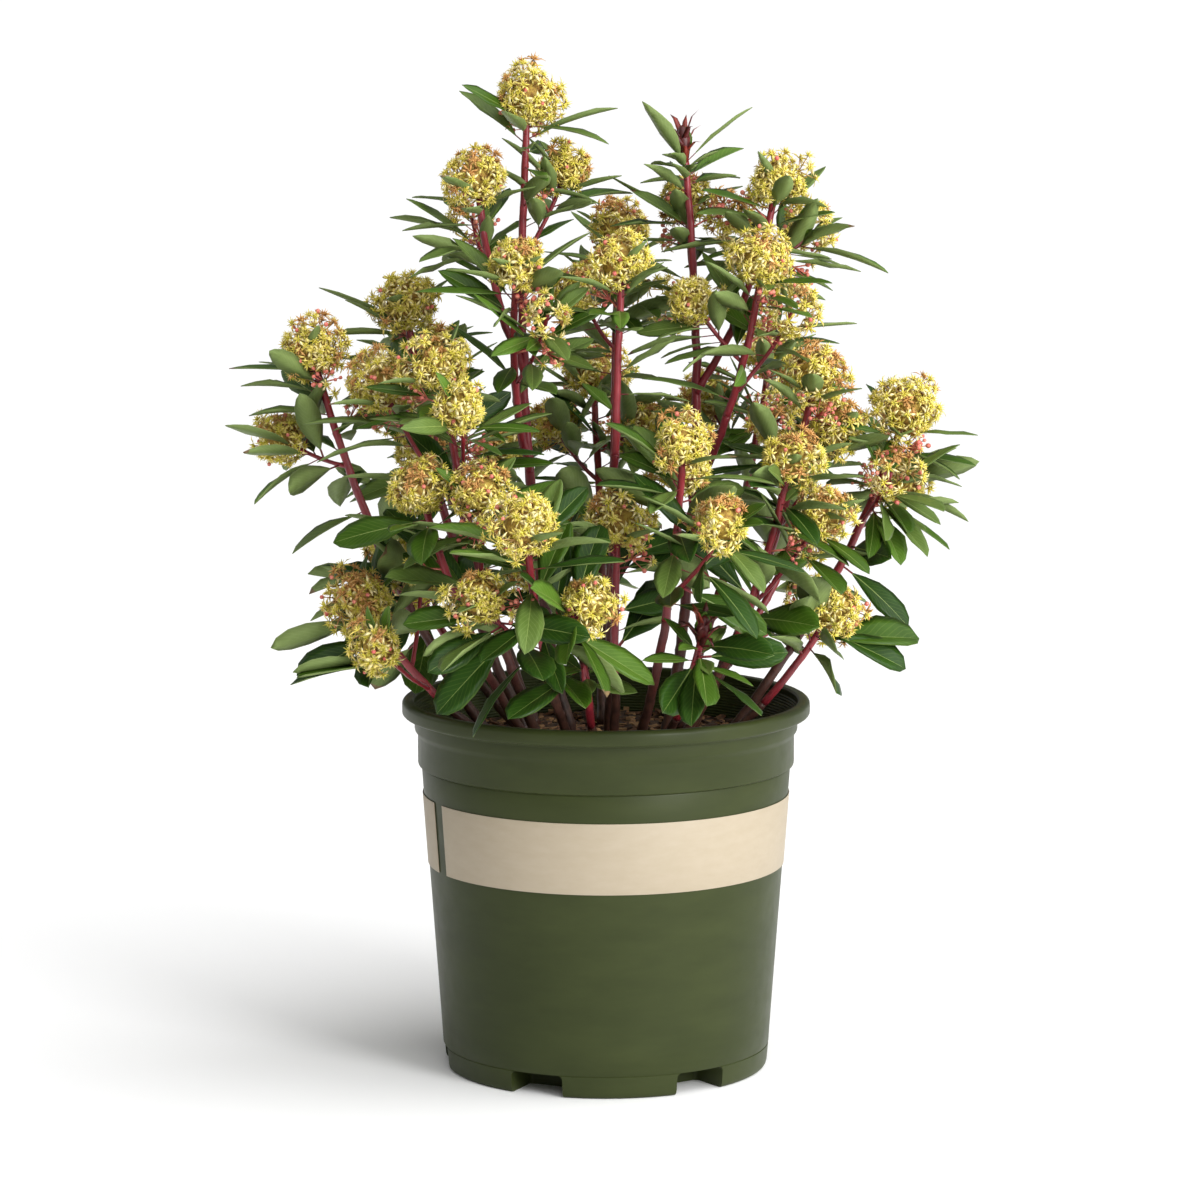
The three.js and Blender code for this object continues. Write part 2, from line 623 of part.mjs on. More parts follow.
const { plans, wood } = planStems();
const obstacles = [obstacle(pot), obstacle(soil)];
for (const plan of plans.values()) {
  const stem = makeStem(plan, 0);
  plan.stem = plan.parent ? stem.subtract(makeStem(plan.parent, CLEARANCE)) : stem;
  obstacles.push(obstacle(plan.stem));
  const parts = plan.shoots.flatMap((shoot, k) => makeShoot(shoot, k === 0, 1000 * plan.index + 100 * k));
  obstacles.push(...parts);
  plan.solids = parts.map((part) => part.solid);
}
for (let k = 0; k < MOST_LEAVES; k++) {
  for (const plan of plans.values()) {
    for (const shoot of plan.shoots) placeLeaf(shoot, k, plan, plans, obstacles);
  }
}
for (const plan of plans.values()) {
  plant.add(piece("stem_" + plan.name, plan.stem, COLOURS.stem));
  plant.add(piece("foliage_" + plan.name, makeMass(plan), COLOURS.foliage));
}

export default plant;
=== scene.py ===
# %% [markdown]
# # A flowering shrub in a nursery pot
#
# The plant is a bushy evergreen with crimson stems, narrow leathery leaves and round heads of small
# cream star flowers. It grows in a dark green moulded pot with a plain cream band round it. The
# solids already say where each stem and each mass of leaves is, so this lesson dresses them: it turns
# the pot, lays the soil, grows the wood, and then deals out leaves and flowers by one seeded rule.

import json
import math

import bpy
import numpy as np
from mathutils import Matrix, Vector, noise

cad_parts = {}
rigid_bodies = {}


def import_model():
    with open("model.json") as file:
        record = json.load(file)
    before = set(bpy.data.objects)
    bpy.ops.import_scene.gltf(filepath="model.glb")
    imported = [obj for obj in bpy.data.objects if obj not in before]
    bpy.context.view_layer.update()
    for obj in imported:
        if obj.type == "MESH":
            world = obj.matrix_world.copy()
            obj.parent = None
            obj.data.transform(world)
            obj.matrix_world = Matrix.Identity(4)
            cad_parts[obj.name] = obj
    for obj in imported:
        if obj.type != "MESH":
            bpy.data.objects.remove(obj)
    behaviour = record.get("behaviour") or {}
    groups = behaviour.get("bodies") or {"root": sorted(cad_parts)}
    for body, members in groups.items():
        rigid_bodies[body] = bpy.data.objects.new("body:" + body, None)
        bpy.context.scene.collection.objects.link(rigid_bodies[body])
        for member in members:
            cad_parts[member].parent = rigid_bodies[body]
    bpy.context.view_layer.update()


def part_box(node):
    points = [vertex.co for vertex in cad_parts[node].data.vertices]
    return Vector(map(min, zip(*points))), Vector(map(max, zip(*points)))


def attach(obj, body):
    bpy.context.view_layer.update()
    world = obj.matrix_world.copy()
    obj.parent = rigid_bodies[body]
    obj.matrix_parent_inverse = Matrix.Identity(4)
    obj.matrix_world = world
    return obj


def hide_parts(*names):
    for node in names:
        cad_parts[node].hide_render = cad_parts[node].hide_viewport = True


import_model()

# %% [markdown]
# ## The studio
#
# A product like this is photographed with a long lens, a little above the rim and looking slightly
# down, so that the rim shows as a thin ellipse. The camera could be aimed by eye, but its height and
# dip follow from that ellipse and from the pot's known size, so they are set as numbers. The light
# comes from above and from the right: a wide sun stands in for a large overhead panel, because it
# lights the whole floor evenly, and a soft box to the right of the camera rounds the pot. A faint one
# behind on the left lifts the edges of the leaves.

# %% Camera
CAMERA_PLACE = (-0.004, -3.2, 0.7788)
CAMERA_DIP = 8.25  # degrees below level
CAMERA_LENS = 145.3  # mm

bpy.ops.object.camera_add(location=CAMERA_PLACE, rotation=(math.radians(90 - CAMERA_DIP), 0, 0))
camera = bpy.context.object
camera.data.lens = CAMERA_LENS
camera.data.sensor_width = 36
bpy.context.scene.camera = camera
bpy.context.scene.view_settings.view_transform = "Standard"
print("The camera stands", abs(CAMERA_PLACE[1]), "m in front of the pot")

# %% Floor, room and lights
FLOOR_SIZE = 400
FLOOR_COLOUR = (0.95, 0.95, 0.95, 1)
ROOM_STRENGTH = 0.29
OVERHEAD_STRENGTH = 3.7
OVERHEAD_ANGLE = 100  # how wide the panel looks from the plant, in degrees
KEY_LIGHT = dict(place=(1.4, -1.7, 0.95), size=0.7, power=33)
RIM_LIGHT = dict(place=(-1.9, 1.2, 1.3), size=1.0, power=4)
PLANT_MIDDLE = Vector((0, 0, 0.35))


def soft_box(name, place, size, power):
    """An area light that faces the middle of the plant."""
    bpy.ops.object.light_add(type="AREA", location=place)
    light = bpy.context.object
    light.name = name
    light.data.size = size
    light.data.energy = power
    light.rotation_euler = (PLANT_MIDDLE - Vector(place)).to_track_quat("-Z", "Y").to_euler()


bpy.ops.mesh.primitive_plane_add(size=FLOOR_SIZE)
floor = bpy.context.object
floor.name = "studio_floor"
paint = bpy.data.materials.new("studio_floor")
paint.use_nodes = True
paint.node_tree.nodes["Principled BSDF"].inputs["Base Color"].default_value = FLOOR_COLOUR
paint.node_tree.nodes["Principled BSDF"].inputs["Roughness"].default_value = 0.9
floor.data.materials.append(paint)
room = bpy.data.worlds.new("studio_room")
room.use_nodes = True
room.node_tree.nodes["Background"].inputs["Color"].default_value = (1, 1, 1, 1)
room.node_tree.nodes["Background"].inputs["Strength"].default_value = ROOM_STRENGTH
bpy.context.scene.world = room
bpy.ops.object.light_add(type="SUN", rotation=(math.radians(22), math.radians(40), 0))
overhead = bpy.context.object
overhead.name = "overhead_panel"
overhead.data.energy = OVERHEAD_STRENGTH
overhead.data.angle = math.radians(OVERHEAD_ANGLE)
soft_box("key_light", **KEY_LIGHT)
soft_box("rim_light", **RIM_LIGHT)

# %% [markdown]
# ## Materials
#
# Nothing that grows, and no moulded plastic, is one flat colour. The same effect, a soft mottle
# between two tones, is wanted on the pot, the soil, the bark, the leaves and the petals, so it is
# made once as a node group and placed in each material with its own tones and scale. Only the
# group's colour and height change over a surface: the gloss is set on each material's own shader.
# Nodes could be dragged together by hand. Two small helpers do the same and keep each network short.

# %% Nodes and wires
def add_node(tree, kind, inputs=(), **settings):
    """A new shader node. The settings are its own, and the inputs are values for its sockets."""
    made = tree.nodes.new("ShaderNode" + kind)
    for setting, value in settings.items():
        setattr(made, setting, value)
    for socket, value in dict(inputs).items():
        made.inputs[socket].default_value = value
    return made


def wire(tree, *wires):
    """Each wire is a node, its output, the next node and that one's input."""
    for source, output, target, socket in wires:
        tree.links.new(source.outputs[output], target.inputs[socket])


def shader_of(material):
    return material.node_tree.nodes["Principled BSDF"]


def set_reflection(material, level):
    """How strongly the surface reflects; 0.5 is plain glossy plastic."""
    shader_of(material).inputs["Specular IOR Level"].default_value = level


# %% The shared mottle
def mottle_group():
    """Noise that blends two tones, and gives a height for a bump."""
    group = bpy.data.node_groups.new("soft_mottle", "ShaderNodeTree")
    for name, side, kind in (
        ("Vector", "INPUT", "Vector"), ("Tone A", "INPUT", "Color"), ("Tone B", "INPUT", "Color"),
        ("Scale", "INPUT", "Float"), ("Color", "OUTPUT", "Color"), ("Height", "OUTPUT", "Float"),
    ):
        group.interface.new_socket(name=name, in_out=side, socket_type="NodeSocket" + kind)
    source, result = group.nodes.new("NodeGroupInput"), group.nodes.new("NodeGroupOutput")
    cloud = add_node(group, "TexNoise", {"Detail": 4, "Roughness": 0.6})
    ramp = add_node(group, "MapRange", {"From Min": 0.35, "From Max": 0.68})
    blend = add_node(group, "Mix", data_type="RGBA")
    wire(
        group, (source, "Vector", cloud, "Vector"), (source, "Scale", cloud, "Scale"),
        (cloud, "Fac", ramp, "Value"), (ramp, "Result", blend, "Factor"),
        (source, "Tone A", blend, "A"), (source, "Tone B", blend, "B"),
        (blend, "Result", result, "Color"), (cloud, "Fac", result, "Height"),
    )
    return group


MOTTLE = mottle_group()
print("Shared node groups:", [g.name for g in bpy.data.node_groups])


# %% One material with a mottle
def tone(red, green, blue):
    """A colour as a paint card gives it, 0 to 255, made linear for the shader."""
    return tuple(((part / 255 + 0.055) / 1.055) ** 2.4 for part in (red, green, blue)) + (1,)


def mottled(name, colour_a, colour_b, scale, roughness, bump, stretch=(1, 1, 1)):
    """A material that is mottled between two colours, with a bump of the given depth in metres."""
    made = bpy.data.materials.new(name)
    made.use_nodes = True
    tree = made.node_tree
    shader = shader_of(made)
    shader.inputs["Roughness"].default_value = roughness
    mapping = add_node(tree, "Mapping", {"Scale": stretch})
    tones = {"Tone A": tone(*colour_a), "Tone B": tone(*colour_b), "Scale": scale}
    mottle = add_node(tree, "Group", tones, node_tree=MOTTLE, name="mottle")
    relief = add_node(tree, "Bump", {"Distance": bump})
    wire(
        tree, (add_node(tree, "TexCoord"), "Object", mapping, "Vector"),
        (mapping, "Vector", mottle, "Vector"), (mottle, "Color", shader, "Base Color"),
        (mottle, "Height", relief, "Height"), (relief, "Normal", shader, "Normal"),
    )
    return made


# %% [markdown]
# ## The pot
#
# The pot is moulded in one piece: a tapering wall, a ledge, a straight neck, a rolled lip, and a flat
# base whose edge has six notches that let water run out. It could be spun from a profile, but a disc
# that is extruded upwards ring by ring does the same and is easy to follow. The outside and the
# inside are two such solids. The inside is first set back over each notch by a wall's thickness, and
# then it, the notches and a drain hole over each of them are cut from the outside.

# %% Sizes of the pot
LIP_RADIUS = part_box("pot")[1].x
POT_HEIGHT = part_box("pot")[1].z
SOIL_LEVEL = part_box("soil")[1].z
COLLAR_RADIUS = 0.1282
NECK_RADIUS = 0.126
NECK_FOOT = 0.205
WALL_TOP_RADIUS = 0.1236
WALL_FOOT_RADIUS = 0.1086
WALL_THICKNESS = 0.0022
POT_SIDES = 144
NOTCH_COUNT = 6
NOTCH_WIDTH = 0.037
NOTCH_HEIGHT = 0.015
NOTCH_DEPTH = 0.03
NOTCH_EDGE = 0.003  # radius of its rounded edges
FRONT_FOOT = 275  # bearing of the foot that faces the camera
DRAIN_RADIUS = 0.005


def wall_radius(height):
    """The outside of the tapering wall."""
    return WALL_FOOT_RADIUS + (WALL_TOP_RADIUS - WALL_FOOT_RADIUS) * height / NECK_FOOT


print("The pot is", round(2 * LIP_RADIUS, 3), "m across and", round(POT_HEIGHT, 3), "m tall")


# %% Tools for modelling by hand
def deselect():
    """Nothing is selected or in edit mode, so the next operator touches only what it is given."""
    if bpy.context.object and bpy.context.object.mode != "OBJECT":
        bpy.ops.object.mode_set(mode="OBJECT")
    bpy.ops.object.select_all(action="DESELECT")


def pick(piece):
    """Only this piece is selected and active."""
    deselect()
    piece.select_set(True)
    bpy.context.view_layer.objects.active = piece


def settle(piece):
    """Puts the piece's place into its mesh."""
    pick(piece)
    bpy.ops.object.transform_apply(location=True, rotation=True, scale=True)


def apply_modifiers(piece):
    pick(piece)
    for modifier in list(piece.modifiers):
        bpy.ops.object.modifier_apply(modifier=modifier.name)


def turn_up(name, stations, sides):
    """A solid of revolution: a disc, extruded and scaled from station to station."""
    deselect()
    radius, height = stations[0]
    place = (0, 0, height)
    bpy.ops.mesh.primitive_circle_add(vertices=sides, radius=radius, fill_type="NGON", location=place)
    turned = bpy.context.object
    turned.name = name
    settle(turned)
    bpy.ops.object.mode_set(mode="EDIT")
    bpy.ops.mesh.select_all(action="SELECT")
    for (radius, height), (next_radius, next_height) in zip(stations, stations[1:]):
        up = {"value": (0, 0, next_height - height)}
        bpy.ops.mesh.extrude_region_move(TRANSFORM_OT_translate=up)
        ratio = next_radius / radius
        bpy.ops.transform.resize(value=(ratio, ratio, 1), center_override=(0, 0, next_height))
    bpy.ops.mesh.select_all(action="SELECT")
    bpy.ops.mesh.normals_make_consistent(inside=False)
    bpy.ops.object.mode_set(mode="OBJECT")
    return turned


def cut(piece, cutter):
    """Takes the cutter's shape out of the piece, and the cutter out of the scene."""
    pick(piece)
    boolean = piece.modifiers.new("cut", "BOOLEAN")
    boolean.operation = "DIFFERENCE"
    boolean.solver = "EXACT"
    boolean.object = cutter
    bpy.ops.object.modifier_apply(modifier=boolean.name)
    bpy.data.objects.remove(cutter)


def smooth(piece, degrees=32):
    pick(piece)
    bpy.ops.object.shade_smooth_by_angle(angle=math.radians(degrees))


def hand_in(piece, slot, *nodes):
    """The piece rides with the plant and stands for some nodes, which it hides. The slot is not used."""
    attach(piece, "root")
    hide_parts(*nodes)
    triangles = sum(len(face.vertices) - 2 for face in piece.data.polygons)
    print(piece.name, "has", triangles, "triangles and stands for", len(nodes), "nodes")


# %% Outside and inside of the pot
RIDGE_PITCH = 0.0019
RIDGE_DEPTH = 0.0006


def rounded(centre, radius, start, stop, steps=5):
    """Stations on an arc, for a rounded edge. Angles in degrees, 0 is outwards and 90 is up."""
    angles = [math.radians(start + (stop - start) * k / steps) for k in range(steps + 1)]
    return [(centre[0] + radius * math.cos(a), centre[1] + radius * math.sin(a)) for a in angles]


def outside_stations():
    """Radius and height of each ring, from the foot over the rolled lip to the inside's edge."""
    seam = NOTCH_HEIGHT
    wall = [(wall_radius(height), height) for height in (0.004, 0.03, 0.07, 0.11, 0.15, 0.18)]
    wall[1:1] = [
        (wall_radius(seam) + 0.0001, seam - 0.0003),
        (wall_radius(seam) - 0.0003, seam),
        (wall_radius(seam) - 0.0002, seam + 0.0004),
        (wall_radius(seam) + 0.0002, seam + 0.001),
    ]
    foot = rounded((wall_radius(0) - 0.003, 0.003), 0.003, -90, -5)
    ledge = [
        (wall_radius(NECK_FOOT - 0.0015), NECK_FOOT - 0.0015),
        (WALL_TOP_RADIUS - 0.0004, NECK_FOOT - 0.0007),
        (NECK_RADIUS - 0.0012, NECK_FOOT + 0.0001),
        (NECK_RADIUS - 0.0003, NECK_FOOT + 0.0006),
        (NECK_RADIUS, NECK_FOOT + 0.0018),
    ]
    collar = [
        (NECK_RADIUS, 0.2246),
        (NECK_RADIUS + 0.0003, 0.2262),
        (COLLAR_RADIUS - 0.0004, 0.2282),
        (COLLAR_RADIUS, 0.2296),
        (COLLAR_RADIUS, 0.2362),
    ]
    lip_foot = rounded((LIP_RADIUS - 0.0022, 0.2408), 0.0022, -85, 0)
    lip_top = rounded((LIP_RADIUS - 0.0034, POT_HEIGHT - 0.0034), 0.0034, 0, 90)
    inner = [(COLLAR_RADIUS + 0.001, POT_HEIGHT - 0.0004)]
    return foot + wall + ledge + collar + [(COLLAR_RADIUS + 0.0014, 0.2383)] + lip_foot + lip_top + inner


def inside_stations():
    """The cavity, from the floor up, with the fine moulded ridges that show above the soil."""
    floor = WALL_THICKNESS
    bend = NECK_FOOT - WALL_THICKNESS
    stations = [(wall_radius(floor) - WALL_THICKNESS, floor), (wall_radius(bend) - WALL_THICKNESS, bend)]
    height = SOIL_LEVEL - 0.006
    low, high = NECK_RADIUS - WALL_THICKNESS, COLLAR_RADIUS - 0.0002
    top = POT_HEIGHT - 0.006
    while height < top:
        radius = low + (high - low) * max(height - SOIL_LEVEL, 0) / (top - SOIL_LEVEL)
        stations.append((radius, height))
        stations.append((radius + RIDGE_DEPTH, height + RIDGE_PITCH / 2))
        height += RIDGE_PITCH
    stations.append((COLLAR_RADIUS + 0.0002, POT_HEIGHT - 0.0016))
    stations.append((COLLAR_RADIUS + 0.0026, POT_HEIGHT + 0.001))
    return stations


pot = turn_up("pot_moulding", outside_stations(), POT_SIDES)
cavity = turn_up("pot_cavity", inside_stations(), POT_SIDES)
print("Stations outside and inside:", len(outside_stations()), len(inside_stations()))


# %% Notches and drain holes
def turn_to_notch(piece, k):
    """Turns a piece that was made on the X axis to the place of one notch."""
    settle(piece)
    piece.rotation_euler.z = math.radians(FRONT_FOOT + 360 / NOTCH_COUNT * (k + 0.5))
    settle(piece)
    return piece


def notch_block(k, margin, bevel):
    """A rounded block over one notch."""
    deselect()
    length = 2 * NOTCH_DEPTH + margin
    bpy.ops.mesh.primitive_cube_add(size=1)
    block = bpy.context.object
    block.scale = (length, NOTCH_WIDTH + 2 * margin, 2 * (NOTCH_HEIGHT + margin))
    block.location.x = WALL_FOOT_RADIUS - NOTCH_DEPTH - margin + length / 2
    settle(block)
    if bevel:
        rounding = block.modifiers.new("rounding", "BEVEL")
        rounding.width = bevel
        rounding.segments = 4
        apply_modifiers(block)
    return turn_to_notch(block, k)


def drain_hole(k):
    """A round cutter through the floor over one notch."""
    deselect()
    place = (WALL_FOOT_RADIUS - NOTCH_DEPTH / 2, 0, NOTCH_HEIGHT)
    depth = 4 * WALL_THICKNESS
    bpy.ops.mesh.primitive_cylinder_add(vertices=24, radius=DRAIN_RADIUS, depth=depth, location=place)
    return turn_to_notch(bpy.context.object, k)


for k in range(NOTCH_COUNT):
    cut(cavity, notch_block(k, WALL_THICKNESS, 0))
cut(pot, cavity)
for k in range(NOTCH_COUNT):
    cut(pot, notch_block(k, 0, NOTCH_EDGE))
for k in range(NOTCH_COUNT):
    cut(pot, drain_hole(k))
smooth(pot)
print("The pot's mesh has", len(pot.data.polygons), "faces")

# %% [markdown]
# ### The pot's plastic
#
# Recycled plastic in a dark olive green has a satin skin with faint flow marks round the wall. They
# could be painted on, but the mottle gives them too where it is stretched sideways. A second, finer
# noise breaks up the roughness, so that the soft box's reflection isn't even.

# %% Plastic
plastic = mottled("pot_plastic", (46, 53, 24), (53, 60, 29), 14, 0.42, 0.0002, (1, 1, 3.5))
set_reflection(plastic, 0.18)


def roughen(material, low, high, scale):
    """Varies a material's roughness between two values with fine noise."""
    tree = material.node_tree
    grain = add_node(tree, "TexNoise", {"Scale": scale, "Detail": 3})
    spread = add_node(tree, "MapRange", {"To Min": low, "To Max": high})
    wire(
        tree, (add_node(tree, "TexCoord"), "Object", grain, "Vector"),
        (grain, "Fac", spread, "Value"), (spread, "Result", shader_of(material), "Roughness"),
    )


roughen(plastic, 0.34, 0.5, 90)
pot.data.materials.append(plastic)
hand_in(pot, "pot", "pot")

# %% [markdown]
# ## The band
#
# The band is a thin sleeve stuck round the wall, with a narrow gap where its two ends nearly meet. An
# open cylinder is shaped to the wall's taper, the faces in the gap are deleted, and a Solidify and a
# Bevel modifier give it its thickness and soft edges. It is left bare.

# %% Sleeve with a gap
LABEL_GAP_MIDDLE = 205  # bearing
LABEL_GAP_ANGLE = 7.6
LABEL_THICKNESS = 0.0005
LABEL_LIFT = 0.0003  # from the wall to its inner side
LABEL_EDGE = 0.00012
LABEL_SIDES = 180


def make_band():
    """An open cylinder, fitted to the wall, thickened and with the gap taken out."""
    deselect()
    low, high = (corner.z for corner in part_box("label"))
    bpy.ops.mesh.primitive_cylinder_add(
        vertices=LABEL_SIDES, radius=1, depth=high - low, end_fill_type="NOTHING",
        location=(0, 0, (high + low) / 2), rotation=(0, 0, math.radians(LABEL_GAP_MIDDLE - 1)),
    )
    band = bpy.context.object
    band.name = "cream_band"
    settle(band)
    for vertex in band.data.vertices:
        radius = wall_radius(vertex.co.z) + LABEL_LIFT
        vertex.co.x *= radius
        vertex.co.y *= radius
    bpy.ops.object.mode_set(mode="EDIT")
    bpy.ops.mesh.select_mode(type="FACE")
    bpy.ops.mesh.select_all(action="DESELECT")
    bpy.ops.object.mode_set(mode="OBJECT")
    for face in band.data.polygons:
        bearing = math.degrees(math.atan2(face.center.y, face.center.x))
        off = (bearing - LABEL_GAP_MIDDLE + 180) % 360 - 180
        face.select = abs(off) < LABEL_GAP_ANGLE / 2
    bpy.ops.object.mode_set(mode="EDIT")
    bpy.ops.mesh.delete(type="FACE")
    bpy.ops.object.mode_set(mode="OBJECT")
    wall = band.modifiers.new("thickness", "SOLIDIFY")
    wall.thickness = LABEL_THICKNESS
    wall.offset = 1
    edges = band.modifiers.new("soft_edges", "BEVEL")
    edges.width = LABEL_EDGE
    edges.segments = 2
    edges.limit_method = "ANGLE"
    edges.angle_limit = math.radians(50)
    apply_modifiers(band)
    smooth(band, 40)
    return band


band = make_band()
cream = mottled("cream_band", (164, 151, 129), (168, 155, 134), 60, 0.55, 0.00003, (1, 1, 3))
roughen(cream, 0.48, 0.62, 300)
band.data.materials.append(cream)
hand_in(band, "label", "label")

# %% [markdown]
# ## The soil
#
# The pot is filled with a bark mix, a little lower at the wall. The body of it is turned up like the
# pot, its top is roughened with a Displace modifier, and over a thousand chips of bark lie on it. They
# are far too many to place by hand, so they are written as one joined mesh from arrays.

# %% A bundle of small shapes
def ring_faces(rings, sides):
    """The four-sided faces between rings of corners, each ring above the last."""
    return [
        (low + k, low + (k + 1) % sides, low + sides + (k + 1) % sides, low + sides + k)
        for low in range(0, (rings - 1) * sides, sides) for k in range(sides)
    ]


def numbered(*looks):
    """The number that stands for each look on a face: its material's place on the piece."""
    return {look: number for number, look in enumerate(looks)}


class Bundle:
    """Gathers many small shapes that become one piece, each face with its own material."""

    def __init__(self):
        self.spots, self.faces, self.looks, self.uvs = [], [], [], []

    def add(self, spots, faces, looks, uvs=()):
        start = len(self.spots)
        self.spots.extend(map(tuple, spots))
        self.faces.extend(tuple(start + corner for corner in face) for face in faces)
        self.looks.extend([looks] * len(faces) if isinstance(looks, int) else looks)
        self.uvs.extend(map(tuple, uvs))

    def make(self, name, materials):
        mesh = bpy.data.meshes.new(name)
        mesh.from_pydata(self.spots, [], self.faces)
        mesh.polygons.foreach_set("material_index", self.looks)
        mesh.polygons.foreach_set("use_smooth", [True] * len(self.faces))
        if self.uvs:
            layer = mesh.uv_layers.new(name="along_and_across")
            corners = np.empty(len(mesh.loops), int)
            mesh.loops.foreach_get("vertex_index", corners)
            layer.uv.foreach_set("vector", np.array(self.uvs)[corners].ravel())
        for material in materials:
            mesh.materials.append(material)
        mesh.update()
        piece = bpy.data.objects.new(name, mesh)
        bpy.context.scene.collection.objects.link(piece)
        return piece


# %% Soil and bark chips
COLLAR_FOOT = 0.227
SOIL_GAP = 0.0004
SOIL_EDGE_DROP = 0.003
SOIL_EDGE_WIDTH = 0.022
SOIL_RINGS = 26
SOIL_SINK = 0.0012  # the mean level of the clods, below the soil's full height
CLOD_SIZE = 0.007
CLOD_RELIEF = 0.005
CHIP_COUNT = 1100
CHIP_FACES = [(3, 2, 1, 0), (4, 5, 6, 7), (0, 1, 5, 4), (1, 2, 6, 5), (2, 3, 7, 6), (3, 0, 4, 7)]


def soil_radius(height):
    """The soil's edge: the pot's inside, less a hair's breadth."""
    bend = NECK_FOOT - WALL_THICKNESS
    share = max(height - bend, 0) / (COLLAR_FOOT - bend)
    wall = wall_radius(min(height, bend)) * (1 - share) + NECK_RADIUS * share
    return wall - WALL_THICKNESS - SOIL_GAP


def soil_stations():
    """Up the pot's inside, over the rounded edge and in to the middle."""
    low = NOTCH_HEIGHT + 2 * WALL_THICKNESS
    shoulder = SOIL_LEVEL - SOIL_EDGE_DROP
    stations = [(soil_radius(height), height) for height in (low, 0.2, shoulder)]
    edge = soil_radius(shoulder)
    for k in range(1, SOIL_RINGS):
        radius = edge * (1 - k / SOIL_RINGS)
        rise = min((edge - radius) / SOIL_EDGE_WIDTH, 1)
        stations.append((radius, shoulder + SOIL_EDGE_DROP * rise - SOIL_SINK))
    return stations


def make_soil():
    soil = turn_up("soil_body", soil_stations(), 96)
    top = soil.vertex_groups.new(name="top")
    heights = [(v.index, v.co.z, math.hypot(v.co.x, v.co.y)) for v in soil.data.vertices]
    edge = soil_radius(SOIL_LEVEL - SOIL_EDGE_DROP) - 0.002
    top.add([index for index, z, r in heights if z > 0.21 and r < edge], 1, "REPLACE")
    clods = bpy.data.textures.new("clods", "CLOUDS")
    clods.noise_scale = CLOD_SIZE
    lumps = soil.modifiers.new("clods", "DISPLACE")
    lumps.texture = clods
    lumps.texture_coords = "LOCAL"
    lumps.direction = "Z"
    lumps.strength = CLOD_RELIEF
    lumps.mid_level = 0.62
    lumps.vertex_group = "top"
    apply_modifiers(soil)
    smooth(soil, 60)
    return soil


def make_chips():
    """Flat broken pieces of bark, lying at all angles."""
    draw = np.random.default_rng(11)
    chips = Bundle()
    corners = np.array([(x, y, z) for z in (-1, 1) for x, y in ((-1, -1), (1, -1), (1, 1), (-1, 1))], float)
    for _ in range(CHIP_COUNT):
        reach = (soil_radius(SOIL_LEVEL - SOIL_EDGE_DROP) - 0.008) * math.sqrt(draw.random())
        bearing = draw.random() * math.tau
        half = np.array([draw.uniform(2, 7), draw.uniform(1.2, 3), draw.uniform(0.4, 1)]) / 1000  # mm
        shape = corners * half * draw.uniform(0.72, 1.15, (8, 3))
        turn = draw.random() * math.tau
        tilt = draw.normal(0, 0.25)
        c, s = math.cos(turn), math.sin(turn)
        spin = np.array([(c, -s, 0), (s, c, 0), (0, 0, 1)])
        c, s = math.cos(tilt), math.sin(tilt)
        lean = np.array([(c, 0, s), (0, 1, 0), (-s, 0, c)])
        height = SOIL_LEVEL - draw.uniform(0.0005, 0.0028)
        middle = np.array([reach * math.cos(bearing), reach * math.sin(bearing), height])
        chips.add(shape @ lean.T @ spin.T + middle, CHIP_FACES, int(draw.integers(3)))
    return chips


soil = make_soil()
soil.data.materials.append(mottled("bark_mix", (43, 30, 21), (84, 58, 38), 190, 0.9, 0.002))
hand_in(soil, "soil", "soil")
chip_looks = [
    mottled("chip_dark", (44, 29, 20), (72, 47, 31), 260, 0.85, 0.0008, (1, 3, 1)),
    mottled("chip_brown", (84, 56, 36), (113, 77, 49), 260, 0.85, 0.0008, (1, 3, 1)),
    mottled("chip_pale", (118, 86, 56), (150, 116, 78), 260, 0.85, 0.0008, (1, 3, 1)),
]
chips = make_chips().make("bark_chips", chip_looks)
for face in chips.data.polygons:
    face.use_smooth = False
hand_in(chips, "soil")

# %% [markdown]
# ## How the shrub is planned
#
# Each stem is one row of a table: the bearing and reach of its flower head, its height, and where its
# foot is. A stem is a bent line from foot to tip that sags a little. Its last stretch is leafy and
# carries side shoots, turned round it by the golden angle, and each shoot ends in a flower head. A
# hand-drawn curve for each stem would do too, but the rule keeps every stem true to its kind, and it
# is the same rule that the solids follow, so the fine wood grows exactly where the solids are.

# %% The table of stems
def stem(bearing, reach, height, count, turn, **rest):
    """Where a stem's tip is, how many shoots it ends in and the turn of the first side shoot."""
    return dict(rest, bearing=bearing, reach=reach, height=height, count=count, turn=turn)


